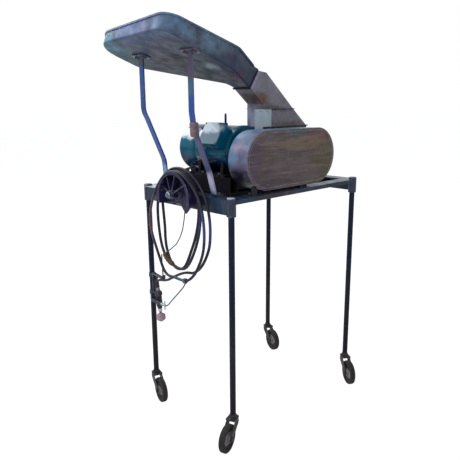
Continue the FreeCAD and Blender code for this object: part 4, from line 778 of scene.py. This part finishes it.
def edit(piece: Piece) -> None:
    """Opens a piece for editing, with all of it selected.

    Args:
        piece: The mesh.
    """
    take(piece)
    bpy.ops.object.mode_set(mode="EDIT")
    bpy.ops.mesh.select_all(action="SELECT")


def named(name: str) -> Piece:
    """Names the active piece.

    Args:
        name: Its new name.

    Returns:
        The piece.
    """
    piece = bpy.context.object
    piece.name = piece.data.name = name
    return piece


def linked(name: str, data: bpy.types.ID) -> Piece:
    """Puts a new object into the scene.

    Args:
        name: Name of the object.
        data: Mesh, curve, lamp or camera that it holds.

    Returns:
        The object.
    """
    piece = bpy.data.objects.new(name, data)
    bpy.context.scene.collection.objects.link(piece)
    return piece


def apply(piece: Piece) -> None:
    """Puts a piece's place, turn and size into its mesh."""
    take(piece)
    bpy.ops.object.transform_apply(location=True, rotation=True, scale=True)


def modify(piece: Piece, kind: str, **settings: object) -> None:
    """Adds a modifier and applies it.

    Args:
        piece: The mesh.
        kind: Kind of modifier, such as BOOLEAN.
        settings: Its values.
    """
    modifier = piece.modifiers.new(kind.lower(), kind)
    for name, value in settings.items():
        setattr(modifier, name, value)
    take(piece)
    bpy.ops.object.modifier_apply(modifier=modifier.name)


def clean(piece: Piece) -> None:
    """Merges doubled points and turns all faces outwards.

    Args:
        piece: The mesh.
    """
    edit(piece)
    bpy.ops.mesh.remove_doubles(threshold=1e-5)
    bpy.ops.mesh.normals_make_consistent(inside=False)
    bpy.ops.object.mode_set(mode="OBJECT")


def turned(name: str, profile: Sequence[Pair], base: Vector, axis: Vector, steps: int = 32) -> Piece:
    """Draws half a section and spins it round an axis.

    Args:
        name: Name of the piece.
        profile: Corners of the half section, as radius and distance along the axis.
        base: Where the distance is zero.
        axis: Direction of the axis.
        steps: Steps round the axis.

    Returns:
        The turned piece.
    """
    clear()
    bpy.ops.mesh.primitive_plane_add(size=MM, location=(0, 0, 0))
    piece = named(name)
    bpy.ops.object.mode_set(mode="EDIT")
    bpy.ops.mesh.merge(type="CENTER")
    corners = [Vector((radius, 0.0, along)) for radius, along in profile]
    bpy.ops.transform.translate(value=corners[0])
    for last, corner in zip(corners, corners[1:]):
        bpy.ops.mesh.extrude_region_move(TRANSFORM_OT_translate={"value": corner - last})
    bpy.ops.mesh.select_all(action="SELECT")
    bpy.ops.mesh.spin(steps=steps, angle=math.tau, center=(0, 0, 0), axis=(0, 0, 1), dupli=False)
    bpy.ops.object.mode_set(mode="OBJECT")
    piece.data.transform(facing(base, axis))
    clean(piece)
    return piece


def ring(centre: Vector, axis: Vector, radius: float, wire: Pair, sides: int = 8, steps: int = 24) -> Piece:
    """Makes one turn of cord, wire or filler round an axis.

    Args:
        centre: Middle of the ring.
        axis: Direction that it lies round.
        radius: From the axis to the wire's middle.
        wire: Half thickness of the wire, outwards and along the axis.
        sides: Sides of the wire's section.
        steps: Steps round the axis.

    Returns:
        The turn.
    """
    angles = [side * math.tau / sides for side in range(sides + 1)]
    profile = [(radius + wire[0] * math.cos(angle), wire[1] * math.sin(angle)) for angle in angles]
    return turned("turn", profile, centre, axis, steps)


def block(name: str, centre: Vector, size: Point, bevel: float = 0.0, turn: Matrix | None = None) -> Piece:
    """Makes a block with rounded edges.

    Args:
        name: Name of the piece.
        centre: Its middle.
        size: Its length along each axis.
        bevel: Width of the rounding.
        turn: A turn about its middle.

    Returns:
        The block.
    """
    clear()
    bpy.ops.mesh.primitive_cube_add(size=1, location=(0, 0, 0))
    piece = named(name)
    piece.scale = size
    apply(piece)
    if bevel:
        edit(piece)
        bpy.ops.mesh.bevel(offset=bevel, segments=3, affect="EDGES")
        bpy.ops.object.mode_set(mode="OBJECT")
    piece.data.transform(Matrix.Translation(centre) @ (turn or Matrix.Identity(4)))
    return piece


def curve(name: str, kind: Run, points: list[Vector], radius: float, fineness: int) -> Piece:
    """Draws a round curve with closed ends.

    Args:
        name: Name of the piece.
        kind: How it runs along its points.
        points: Its control points.
        radius: Its radius.
        fineness: Steps round a quarter of it.

    Returns:
        The curve.
    """
    data = bpy.data.curves.new(name, "CURVE")
    data.dimensions = "3D"
    spline = data.splines.new(kind.value)
    spline.points.add(len(points) - 1)
    for control, point in zip(spline.points, points):
        control.co = (*point, 1.0)
    data.bevel_depth = radius
    data.bevel_resolution = fineness
    data.use_fill_caps = True
    return linked(name, data)


def tube(name: str, run: list[Vector], radius: float, shares: list[float]) -> Piece:
    """Makes a closed round tube along a line of points.

    Args:
        name: Name of the piece.
        run: Points of its middle line.
        radius: Its full radius.
        shares: Share of the radius at each point.

    Returns:
        The tube, as a mesh.
    """
    line = curve(name, Run.STRAIGHT, run, radius, 5)
    for control, share in zip(line.data.splines[0].points, shares):
        control.radius = share
    take(line)
    bpy.ops.object.convert(target="MESH")
    piece = named(name)
    clean(piece)
    return piece


def weld(start: Vector, end: Vector, radius: float) -> Piece:
    """Lays a weld bead, a row of overlapping drops.

    Args:
        start: Where it starts.
        end: Where it ends.
        radius: Half its width.

    Returns:
        The bead.
    """
    reach = (end - start).length
    drops = max(3, round(reach / (radius * 1.5)))
    profile = [(radius * width, reach * (drop + share) / drops) for drop in range(drops)
               for share, width in ((0.15, 0.78), (0.5, 1.0), (0.85, 0.8))]
    return turned("weld_run", [(0.0, 0.0), *profile, (0.0, reach)], start, (end - start).normalized(), 12)


def head(radius: float, height: float, slot: bool = False) -> Piece:
    """Turns a round-topped rivet or screw head that stands on the origin, along Z.

    Args:
        radius: Its radius.
        height: Its height.
        slot: True for a screw with a driver slot.

    Returns:
        The head.
    """
    shares = ((0.96, -0.6), (1.0, 0.25), (0.82, 0.7), (0.45, 0.95), (0.0, 1.0))
    profile = [(radius * out, height * up) for out, up in shares]
    piece = turned("fastener_head", profile, Vector(), Axis.UP.vector, 20)
    if slot:
        cutter = block("slot_cutter", Vector((0.0, 0.0, height)), (radius * 2.4, radius * 0.34, height))
        modify(piece, "BOOLEAN", operation="DIFFERENCE", solver="EXACT", object=cutter)
        bpy.data.objects.remove(cutter)
    return piece


def join(name: str, pieces: list[Piece]) -> Piece:
    """Joins several meshes to one.

    Args:
        name: Its name.
        pieces: The meshes, which are used up.

    Returns:
        The joined piece.
    """
    take(pieces[0])
    for piece in pieces[1:]:
        piece.select_set(True)
    if len(pieces) > 1:
        bpy.ops.object.join()
    return named(name)


def copies(name: str, master: Piece, places: list[Matrix]) -> Piece:
    """Copies a master to each of its places. The master is used up.

    Args:
        name: Name of the joined piece.
        master: Mesh modelled at the origin.
        places: Where each copy goes.

    Returns:
        The copies, joined.
    """
    made = []
    for matrix in places:
        made.append(linked(name, master.data.copy()))
        made[-1].data.transform(matrix)
    bpy.data.objects.remove(master)
    return join(name, made)


@dataclass
class Assembly:
    """A group of pieces of the stand that is built and dressed together."""

    palette: Palette
    pieces: list[Piece] = field(default_factory=list)

    def keep(self, piece: Piece, finish: str, slot: str, smooth: float = 35.0) -> None:
        """Dresses a finished piece and lets it ride on the stand.

        Args:
            piece: The mesh or curve.
            finish: Name of its finish.
            slot: The record's material slot; not used.
            smooth: Angle up to which it is shaded smooth, in degrees.
        """
        piece.data.materials.clear()
        piece.data.materials.append(self.palette.get(finish))
        if piece.type == "MESH":
            take(piece)
            bpy.ops.object.shade_smooth_by_angle(angle=math.radians(smooth))
        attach(piece, STAND)
        self.pieces.append(piece)


@dataclass(frozen=True)
class Lamp:
    """One soft lamp: where it hangs, what it looks at, its width and height, watts and tint."""

    name: str
    spot: Point
    aim: Point
    size: Pair
    power: float
    tint: Colour

    def hang(self) -> None:
        """Adds the lamp to the scene, out of the camera's sight."""
        data = bpy.data.lights.new(self.name, "AREA")
        data.shape = "RECTANGLE"
        data.size, data.size_y = self.size
        data.energy = self.power
        data.color = self.tint
        lamp = linked(self.name, data)
        lamp.location = self.spot
        lamp.rotation_euler = (Vector(self.aim) - Vector(self.spot)).to_track_quat("-Z", "Y").to_euler()
        lamp.visible_camera = False


@dataclass
class Studio:
    """Camera, lamps, floor and the white surround."""

    eye: Point = (-1.41372303, -1.42404425, 1.18934769)
    forward: Point = (0.66876252, 0.70663881, -0.23112396)
    right: Point = (0.72482564, -0.68887527, -0.00886873)
    up: Point = (0.16548257, 0.1615935, 0.97288389)
    lens: float = 41.927
    sensor: float = 36.0
    far: float = 200.0
    sky: Colour = (0.84, 0.90, 1.0)
    sky_strength: float = 0.5
    floor_size: float = 80.0
    floor_grey: Colour = (0.8, 0.8, 0.8)
    floor_glow: float = 1.1
    floor_share: float = 0.86
    floor_gloss: float = 0.2
    lamps: tuple[Lamp, ...] = (
        Lamp("key_lamp", (-3.4, -1.5, 2.9), (0.0, 0.0, 0.95), (2.4, 2.4), 80.0, (1.0, 0.98, 0.96)),
        Lamp("fill_lamp", (1.6, -3.9, 1.7), (0.0, 0.0, 0.95), (2.6, 2.2), 30.0, (0.94, 0.97, 1.0)),
        Lamp("sky_lamp", (-1.2, 3.0, 4.1), (-0.1, -0.02, 1.05), (5.0, 3.0), 260.0, (0.96, 0.98, 1.0)))

    def camera(self) -> None:
        """Places the camera where the photograph was taken from."""
        data = bpy.data.cameras.new("camera")
        data.lens = self.lens
        data.sensor_width = self.sensor
        data.clip_end = self.far
        camera = linked("camera", data)
        turn = Matrix((Vector(self.right), Vector(self.up), -Vector(self.forward))).transposed()
        camera.matrix_world = Matrix.Translation(Vector(self.eye)) @ turn.to_4x4()
        bpy.context.scene.camera = camera

    @staticmethod
    def seen(tree: Tree, gloss: float) -> Socket:
        """Tells rays of the camera and of glass from all others.

        Args:
            tree: Tree that the nodes are made in.
            gloss: What rays of gloss get.

        Returns:
            1 for those rays, the given share for gloss and 0 for the rest.
        """
        rays = tree.add("LightPath").outputs
        glossy = tree.sum(Sum.TIMES, rays["Is Glossy Ray"], gloss)
        seen = tree.sum(Sum.HIGHER, rays["Is Camera Ray"], glossy)
        return tree.sum(Sum.HIGHER, seen, rays["Is Transmission Ray"])

    def world(self) -> None:
        """Makes a soft grey surround that the camera and gloss see as white."""
        world = bpy.data.worlds.new("surround")
        bpy.context.scene.world = world
        tree = Tree(world)
        soft = tree.add("Background", {"Color": self.sky, "Strength": self.sky_strength}).outputs[0]
        white = tree.add("Background", {"Color": WHITE, "Strength": 1.0}).outputs[0]
        surface = tree.add("MixShader", {0: self.seen(tree, 1.0), 1: soft, 2: white}).outputs[0]
        tree.add("OutputWorld", {"Surface": surface})

    def floor(self) -> None:
        """Lays a pale floor that keeps a light shadow."""
        clear()
        bpy.ops.mesh.primitive_plane_add(size=self.floor_size, location=(0, 0, 0))
        floor = named("floor")
        material = bpy.data.materials.new("floor_white")
        tree = Tree(material)
        matt = tree.add("BsdfDiffuse", {"Color": self.floor_grey}).outputs[0]
        bright = tree.add("Emission", {"Strength": self.floor_glow}).outputs[0]
        share = tree.sum(Sum.TIMES, self.seen(tree, self.floor_gloss), self.floor_share)
        surface = tree.add("MixShader", {0: share, 1: matt, 2: bright}).outputs[0]
        tree.add("OutputMaterial", {"Surface": surface})
        floor.data.materials.append(material)

    def build(self) -> None:
        """Sets up everything round the object."""
        bpy.context.scene.view_settings.view_transform = "Standard"
        self.camera()
        self.world()
        self.floor()
        for lamp in self.lamps:
            lamp.hang()


@dataclass
class FlexShaft(Assembly):
    """The flexible shaft: feed, hank over the saddle, tail, sleeve, boots and tether.

    The routes are points of the stand's own frame in millimetres, set after the
    photograph; each holds how far right, how far back and how high.
    """

    radius: float = 0.005
    length: float = 4.37
    tether_radius: float = 0.0025
    tether_length: float = 0.232
    sleeve_radius: float = 0.0088
    sleeve_half: float = 0.031
    sleeve_strand: Pair = (-0.0545, -0.0505)
    sleeve_top: float = 0.80
    sleeve_span: int = 40
    sleeve_end: float = 0.86
    sleeve_blend: float = 8.0
    sleeve_wave: Pair = (0.03, 23.0)
    lacings: int = 5
    lacing: float = 0.0011
    boot_radius: float = 0.0088
    boot_taper: float = 0.34
    boot_rib: float = 0.06
    boot_ribbed: Pair = (0.15, 0.9)
    boots: tuple[tuple[str, int, float, int], ...] = (
        ("coupling_boot", 1, 0.040, 16), ("handpiece_boot", -1, 0.024, 10))
    knot_radius: float = 0.0073
    knot_wire: Pair = (0.0021, 0.0021)
    knot_turns: tuple[float, ...] = (-0.0042, 0.0, 0.0042)
    knot_section: tuple[Pair, ...] = (
        (0.0, -0.0045), (0.003, -0.004), (0.0046, -0.0015), (0.0046, 0.0015), (0.003, 0.004), (0.0, 0.0045))
    knot_drop: Point = (0.0, 0.0, -0.0005)
    knot_way: Point = (0.3, 0.8, 0.5)
    feed: tuple[Point, ...] = (
        (440, 284, 1040), (440, 320, 1040), (430, 360, 1030), (402, 391, 1018), (360, 404, 1005),
        (306, 407, 989), (250, 405, 974), (190, 401, 961), (132, 394, 953), (84, 378, 951),
        (42, 348, 956), (8, 310, 966), (-16, 274, 974), (-33.6, 246, 977.4),
    )
    first_loop: tuple[Point, ...] = (
        (-34, 199, 977.5), (-34.6, 156, 955.5), (-35.4, 128, 917), (-36.2, 119, 872), (-37, 120, 828),
        (-37.6, 129, 784), (-38, 145, 740), (-38.4, 165, 700), (-38.8, 183, 664), (-39.3, 199, 640),
        (-40.2, 222, 626), (-41.2, 250, 626), (-42, 276, 644), (-42.4, 297, 687), (-42.8, 303, 726),
        (-43.1, 302, 770), (-43.5, 306, 815), (-43.9, 310, 860), (-44.4, 311, 908), (-45, 287.5, 955),
        (-45.4, 246, 977.5),
    )
    second_loop: tuple[Point, ...] = (
        (-45.6, 199, 977.5), (-46.2, 153, 956), (-46.9, 116, 920), (-47.9, 99, 872), (-49, 97, 824),
        (-49.4, 105, 776), (-49.6, 121, 732), (-49.8, 140, 694), (-50, 160, 662), (-50.4, 184, 638),
        (-51, 216, 632), (-51.8, 248, 640), (-52.6, 283, 655), (-53.2, 304, 683), (-53.8, 317, 720),
        (-54.2, 323, 760), (-54.8, 327, 806), (-55.3, 325, 852), (-55.9, 314, 900), (-56.4, 290, 954),
        (-56.8, 247, 977.5),
    )
    third_loop: tuple[Point, ...] = (
        (-56.9, 199, 977.5), (-57, 152, 957), (-57, 108, 920), (-57, 80, 866), (-57, 70, 810),
        (-57, 70, 756), (-57.4, 80, 708), (-58.4, 102, 664), (-59.4, 126, 628), (-60.6, 162, 600),
        (-61, 200, 598), (-61, 236, 600), (-60, 270, 596), (-57.5, 300, 610), (-55.6, 321, 644),
        (-54.6, 342, 682), (-54, 362, 720), (-53.4, 378, 760), (-51.4, 381, 805), (-48.5, 372, 850),
        (-45, 350, 898), (-42, 316, 944), (-40, 268, 980),
    )
    tail: tuple[Point, ...] = (
        (-39.6, 221, 990), (-38.6, 174, 983), (-37.6, 130, 957), (-36.4, 95, 916), (-35.4, 74, 868),
        (-34.8, 65, 820), (-34.7, 65, 776), (-33, 72, 733), (-33, 92, 690), (-31, 122, 650),
        (-29, 162, 622), (-27, 206, 616), (-23, 252, 598), (-18, 298, 574), (-12, 342, 550),
        (-8, 380, 541), (-3, 415, 532), (-0.5, 427, 514), (0, 425, 499),
    )
    tether: tuple[Point, ...] = (
        (-17, 352.2, 445.4), (-18, 339, 449.4), (-27, 302, 481.5), (-34.9, 262, 514.4), (-41.4, 226, 545.2),
        (-48.4, 194, 572.5), (-58.5, 174, 592.5),
    )

    @staticmethod
    def route(*parts: tuple[Point, ...]) -> list[Vector]:
        """Returns the points of a route's parts, in order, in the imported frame."""
        return [place(*(value / 1000 for value in point)) for part in parts for point in part]

    @staticmethod
    def cord_curve(name: str, points: list[Vector], radius: float) -> Piece:
        """Draws a round cord on a smooth line.

        Args:
            name: Name of the piece.
            points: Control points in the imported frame.
            radius: Radius of the cord.

        Returns:
            The cord.
        """
        cord = curve(name, Run.SMOOTH, points, radius, 4)
        spline = cord.data.splines[0]
        spline.order_u = 3
        spline.use_endpoint_u = True
        spline.resolution_u = 8
        return cord

    @staticmethod
    def middle_line(piece: Piece) -> list[Vector]:
        """Reads a cord's own line from its spline.

        Args:
            piece: The cord.

        Returns:
            Points along its middle.
        """
        bare = linked("bare_line", piece.data.copy())
        bare.data.bevel_depth = 0.0
        graph = bpy.context.evaluated_depsgraph_get()
        mesh = bpy.data.meshes.new_from_object(bare.evaluated_get(graph))
        points = [vertex.co.copy() for vertex in mesh.vertices]
        bpy.data.objects.remove(bare)
        bpy.data.meshes.remove(mesh)
        return points

    def sleeve(self, line: list[Vector]) -> Piece:
        """Makes the leather sleeve that is laced round the second turn.

        Args:
            line: Points of the shaft's own line.

        Returns:
            The sleeve with its lacings.
        """
        low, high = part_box("sheath_sleeve")
        middle = (low + high) / 2
        left, right = self.sleeve_strand
        strand = [i for i, point in enumerate(line)
                  if left < point.x - STAND_SHIFT.x < right and point.z < self.sleeve_top]
        centre = min(strand, key=lambda i: (line[i] - middle).length)
        nearby = line[centre - self.sleeve_span:centre + self.sleeve_span + 1]
        run = [point for point in nearby if (point - line[centre]).length < self.sleeve_half]
        last = len(run) - 1
        deep, turns = self.sleeve_wave
        shares = [self.sleeve_end + (1 - self.sleeve_end) * min(1.0, self.sleeve_blend * min(i, last - i) / last)
                  + deep * math.sin(i / last * turns) for i in range(last + 1)]
        rings = [tube("leather_sleeve", run, self.sleeve_radius, shares)]
        for spot in range(1, self.lacings + 1):
            index = round(last * spot / (self.lacings + 1))
            ahead = (run[min(last, index + 1)] - run[max(0, index - 1)]).normalized()
            rings.append(ring(run[index], ahead, self.sleeve_radius, (self.lacing, self.lacing)))
        return join("leather_sleeve", rings)

    def boot(self, name: str, run: list[Vector]) -> Piece:
        """Makes a ribbed bend relief that tapers along the shaft, thick end first.

        Args:
            name: Name of the piece.
            run: Points of the shaft's own line.

        Returns:
            The bend relief.
        """
        shares = []
        low, high = self.boot_ribbed
        for index in range(len(run)):
            share = index / (len(run) - 1)
            rib = self.boot_rib if index % 2 and low < share < high else 0.0
            shares.append(1.0 - self.boot_taper * share + rib)
        return tube(name, run, self.boot_radius, shares)

    @staticmethod
    def stretch(line: list[Vector], reach: float, steps: int) -> list[Vector]:
        """Walks along a line's first stretch in even steps.

        Args:
            line: The line.
            reach: Length of the stretch.
            steps: Number of steps.

        Returns:
            The start and a point for each step.
        """
        here, walked, index = line[0].copy(), 0.0, 1
        points = [here.copy()]
        for step in range(1, steps + 1):
            goal = reach * step / steps
            while walked + (line[index] - here).length < goal:
                walked += (line[index] - here).length
                here = line[index].copy()
                index += 1
            here = here + (line[index] - here).normalized() * (goal - walked)
            walked = goal
            points.append(here.copy())
        return points

    def build(self) -> None:
        points = self.route(self.feed, self.first_loop, self.second_loop, self.third_loop, self.tail)
        shaft = self.cord_curve("flexible_shaft", points, self.radius)
        line = self.middle_line(shaft)
        sleeve = self.sleeve(line)
        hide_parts("sheath_sleeve")
        self.keep(sleeve, "sleeve", "sleeve_leather")
        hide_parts("flex_shaft_feed", "flex_shaft_coil", "flex_shaft_end")
        self.keep(shaft, "sheath", "sheath_rubber")
        for name, way, reach, steps in self.boots:
            self.keep(self.boot(name, self.stretch(line[::way], reach, steps)), "boot", "sheath_rubber")
        ties = self.route(self.tether)
        tether = self.cord_curve("key_tether_cord", ties, self.tether_radius)
        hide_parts("key_tether")
        self.keep(tether, "tether", "tether_cord")
        knot = self.knot(line, ties[-1])
        self.keep(knot, "tether", "tether_cord")

    def knot(self, line: list[Vector], end: Vector) -> Piece:
        """Ties the tether round the shaft, with the knot under its turns.

        Args:
            line: Points of the shaft's own line.
            end: Where the tether ends.

        Returns:
            The turns and the knot, joined.
        """
        spot = min(range(len(line)), key=lambda i: (line[i] - end).length)
        along = (line[spot + 1] - line[spot - 1]).normalized()
        turns = [ring(line[spot] + along * shift, along, self.knot_radius, self.knot_wire)
                 for shift in self.knot_turns]
        lump = turned("knot_lump", self.knot_section, end + Vector(self.knot_drop),
                      Vector(self.knot_way).normalized(), 16)
        return join("tether_knot", [*turns, lump])


@dataclass
class StandWork(Assembly):
    """Weld beads between the sockets and the rails, and the wire tie below the saddle."""

    corners: tuple[Pair, ...] = ((0.0, 0.0), (0.68, 0.0), (0.0, 0.458), (0.68, 0.458))
    bead: float = 0.0024
    out: float = 0.0155
    inset: float = 0.0055
    side_low: float = 0.853
    front_low: float = 0.887
    high: float = 0.897
    tie_radius: float = 0.0019
    tie: tuple[Point, ...] = (
        (-0.040, 0.188, 0.847), (-0.040, 0.195, 0.811), (-0.040, 0.205, 0.774), (-0.041, 0.221, 0.742),
        (-0.043, 0.239, 0.717), (-0.045, 0.258, 0.702), (-0.048, 0.276, 0.688), (-0.0522, 0.2925, 0.675),
    )

    def build(self) -> None:
        """Makes the beads and the tie."""
        beads = []
        for x, y in self.corners:
            right = 1 if x else -1
            back = 1 if y else -1
            spots = ((x + right * self.out, y - back * self.inset, self.side_low),
                     (x - right * self.inset, y + back * self.out, self.front_low))
            beads += [weld(place(*spot), place(*spot[:2], self.high), self.bead) for spot in spots]
        self.keep(join("socket_welds", beads), "weld", "stand_paint")
        points = [place(*spot) for spot in self.tie]
        wire = tube("saddle_tie", points, self.tie_radius, [1.0] * len(points))
        self.keep(wire, "tie", "eye_steel")


@dataclass
class MotorWork(Assembly):
    """Blank plate, screws and seams of the motor, and the packing block under its cowl."""

    axis: Point = (0.180, 0.0, 1.040)
    shell: float = 0.085
    plate_run: Pair = (0.228, 0.284)
    plate_arc: Pair = (-16.0, 8.0)
    plate_skin: Pair = (-0.0003, 0.0008)
    plate_rivet: Pair = (0.0018, 0.0012)
    rivet_inset: Pair = (0.004, 3.0)
    rise: float = 0.0006
    lid_centre: Point = (0.0722, 0.176, 1.1022)
    lid_half: Pair = (0.036, 0.0415)
    lid_lean: float = 30.0
    lid_screw: Pair = (0.0038, 0.0022)
    seams: tuple[float, ...] = (0.1265, 0.2935, 0.3055)
    seam: Pair = (0.0007, 0.0009)
    cowl_screws: tuple[float, ...] = (-38.0, 12.0, 62.0, 118.0, 192.0)
    cowl_screw_row: float = 0.313
    cowl_screw: Pair = (0.0034, 0.002)
    cowl_rise: float = 0.0008
    stay: Point = (0.111, 0.3175, 0.959)
    stay_size: Point = (0.028, 0.053, 0.018)
    stay_bevel: float = 0.0025
    stay_screw: Pair = (0.0055, 0.0032)
    stay_screw_spot: Point = (0.097, 0.3215, 0.958)

    def curved_plate(self) -> Piece:
        """Bends the blank plate to the shell's left side.

        Returns:
            The plate.
        """
        inner, outer = (self.shell + skin for skin in self.plate_skin)
        start, end = self.plate_run
        low, high = (math.radians(angle) for angle in self.plate_arc)
        clear()
        bpy.ops.mesh.primitive_plane_add(size=1, location=(0, 0, 0))
        piece = named("blank_plate")
        piece.scale = (outer - inner, end - start, 1.0)
        piece.location = (-(inner + outer) / 2, (start + end) / 2, 0.0)
        apply(piece)
        piece.data.transform(Matrix.Rotation(low, 4, "Y"))
        edit(piece)
        bpy.ops.mesh.spin(steps=10, angle=high - low, center=(0, 0, 0), axis=(0, 1, 0), dupli=False)
        bpy.ops.object.mode_set(mode="OBJECT")
        piece.data.transform(Matrix.Translation(place(*self.axis)))
        clean(piece)
        return piece

    def on_shell(self, along: float, degrees: float, rise: float) -> Matrix:
        """Finds the place of a head on the shell's left side.

        Args:
            along: How far back it stands.
            degrees: Its angle above the horizontal.
            rise: How far above the shell it starts.

        Returns:
            The matrix that stands the head there.
        """
        turn = math.radians(degrees)
        out = Vector((-math.cos(turn), 0.0, math.sin(turn)))
        return facing(place(self.axis[0], along, self.axis[2]) + out * (self.shell + rise), out)

    def build(self) -> None:
        """Makes the plate, its rivets, the lid's screws, the seams and the cowl's screws."""
        self.keep(self.curved_plate(), "plate", "fastener_steel")
        inset, turn_in = self.rivet_inset
        spots = [self.on_shell(along, degrees, self.rise)
                 for along in (self.plate_run[0] + inset, self.plate_run[1] - inset)
                 for degrees in (self.plate_arc[0] + turn_in, self.plate_arc[1] - turn_in)]
        self.keep(copies("plate_rivets", head(*self.plate_rivet), spots), "plate", "fastener_steel")
        lean = math.radians(self.lid_lean)
        out = Vector((-math.cos(lean), 0.0, math.sin(lean)))
        aside = Vector((math.sin(lean), 0.0, math.cos(lean)))
        middle = place(*self.lid_centre)
        spots = [facing(middle + aside * (self.lid_half[0] * i) + Vector((0, self.lid_half[1] * j, 0)), out)
                 for i in (-1, 1) for j in (-1, 1)]
        self.keep(copies("lid_screws", head(*self.lid_screw, slot=True), spots), "bolts", "fastener_steel")
        rings = [ring(place(self.axis[0], along, self.axis[2]), Axis.BACK.vector, self.shell + self.rise,
                      self.seam, 6, 64) for along in self.seams]
        self.keep(join("shell_seams", rings), "seam", "sheath_rubber")
        spots = [self.on_shell(self.cowl_screw_row, degrees, self.cowl_rise) for degrees in self.cowl_screws]
        self.keep(copies("cowl_screws", head(*self.cowl_screw, slot=True), spots), "bolts", "fastener_steel")
        self.rear_stay()

    def rear_stay(self) -> None:
        """Makes the packing block under the cowl, on the left pedestal, with its screw."""
        stay = block("rear_stay", place(*self.stay), self.stay_size, self.stay_bevel)
        self.keep(stay, "feet", "stand_paint")
        screw = copies("stay_screw", head(*self.stay_screw, slot=True),
                       [facing(place(*self.stay_screw_spot), Axis.LEFT.vector)])
        self.keep(screw, "bearing", "fastener_steel")


@dataclass
class ChuteWork(Assembly):
    """Rivets, lip welds, the flange band at the chute's mouth and the packing in its joint."""

    low: Pair = (0.199, 1.2527)
    high: Pair = (0.238, 1.311)
    front: float = 0.110
    back: float = 0.190
    proud: float = 0.001
    sunk: float = 0.0015
    band: Point = (-0.003, 0.0022, 0.012)
    band_bevel: float = 0.0007
    front_strip: Point = (0.002, 0.0035, 0.0055)
    under_strip: Point = (0.005, 0.004, 0.0065)
    under_drop: float = 0.0022
    strip_bevel: float = 0.0012
    bracket_face: float = 0.089
    rivet: Pair = (0.0028, 0.0016)
    rivet_xs: tuple[float, ...] = (0.229, 0.264, 0.299)
    rivet_zs: tuple[float, ...] = (1.101, 1.173)
    band_rivets: tuple[float, ...] = (-0.024, 0.0, 0.024)
    band_rivet_row: Pair = (0.007, 0.0021)
    lips: tuple[float, ...] = (0.318, 0.362, 0.402)
    lip: Point = (0.028, 0.1035, 1.1795)
    lip_bead: float = 0.0016

    def build(self) -> None:
        """Makes the band, the packing, the rivets and the welds."""
        ahead = Vector((self.high[0] - self.low[0], 0.0, self.high[1] - self.low[1]))
        reach = ahead.length
        ahead.normalize()
        inward = Vector((ahead.z, 0.0, -ahead.x))
        back = Axis.BACK.vector
        turn = Matrix((ahead, back, ahead.cross(back))).transposed().to_4x4()
        middle = place((self.low[0] + self.high[0]) / 2, self.front, (self.low[1] + self.high[1]) / 2)
        face = middle - back * self.proud
        shorter, thick, width = self.band
        band = block("mouth_band", face + inward * (width / 2 + self.proud), (reach + shorter, thick, width),
                     self.band_bevel, turn)
        self.keep(band, "flange", "duct_paint")
        longer, thick, width = self.front_strip
        front = block("packing", face - inward * self.sunk, (reach + longer, thick, width), self.strip_bevel, turn)
        thick, wider, width = self.under_strip
        base = place(self.low[0], (self.front + self.back) / 2, self.low[1])
        under = block("packing", base - ahead * self.under_drop - inward * self.sunk,
                      (thick, self.back - self.front + wider, width), self.strip_bevel, turn)
        self.keep(join("mouth_packing", [front, under]), "seam", "sheath_rubber")
        inset, rise = self.band_rivet_row
        spots = [place(x, self.bracket_face, z) for z in self.rivet_zs for x in self.rivet_xs]
        spots += [middle + ahead * step + inward * inset - back * rise for step in self.band_rivets]
        rivets = copies("sheet_rivets", head(*self.rivet), [facing(spot, Axis.FRONT.vector) for spot in spots])
        self.keep(rivets, "flange", "bracket_paint")
        length, y, z = self.lip
        lips = [weld(place(x, y, z), place(x + length, y, z), self.lip_bead) for x in self.lips]
        self.keep(join("lip_welds", lips), "weld", "stand_paint")


@dataclass
class StrutWork(Assembly):
    """The old pipe clamp on the near strut, with its nuts and the one above it."""

    centre: Point = (-0.0757, 0.085, 1.122)
    size: Point = (0.016, 0.030, 0.046)
    lip_shift: Point = (-0.006, -0.018, 0.0)
    lip_size: Point = (0.010, 0.010, 0.030)
    bevels: Pair = (0.004, 0.0025)
    lean: float = -4.0
    nut_spots: tuple[Point, ...] = ((-0.0867, 0.067, 1.114), (-0.0867, 0.067, 1.130), (-0.0835, 0.085, 1.272))
    nut: tuple[Pair, ...] = (
        (0.0, 0.0), (0.0052, 0.0), (0.0052, 0.003), (0.0036, 0.0042), (0.0, 0.0045))
    nut_smooth: float = 20.0

    def build(self) -> None:
        """Makes the clamp and the nuts."""
        lean = Matrix.Rotation(math.radians(self.lean), 4, "Y")
        middle = place(*self.centre)
        body = block("strut_clamp", middle, self.size, self.bevels[0], lean)
        lip = block("clamp_lip", middle + Vector(self.lip_shift), self.lip_size, self.bevels[1], lean)
        self.keep(join("strut_clamp", [body, lip]), "clamp", "hanger_steel")
        spots = [facing(place(*spot), Axis.LEFT.vector) for spot in self.nut_spots]
        nuts = copies("clamp_nuts", turned("nut", self.nut, Vector(), Axis.UP.vector, 6), spots)
        self.keep(nuts, "bolts", "fastener_steel", self.nut_smooth)


def main() -> None:
    """Builds the studio, the cords and the pieces."""
    logging.basicConfig(level=logging.INFO, format="%(message)s")
    Studio().build()
    palette = Palette()
    for kind in (FlexShaft, StandWork, MotorWork, ChuteWork, StrutWork):
        group = kind(palette)
        group.build()
        for piece in group.pieces:
            LOG.info("%s: %s", kind.__name__, piece.name)
    palette.dress_cad()


if __name__ == "__main__":
    main()
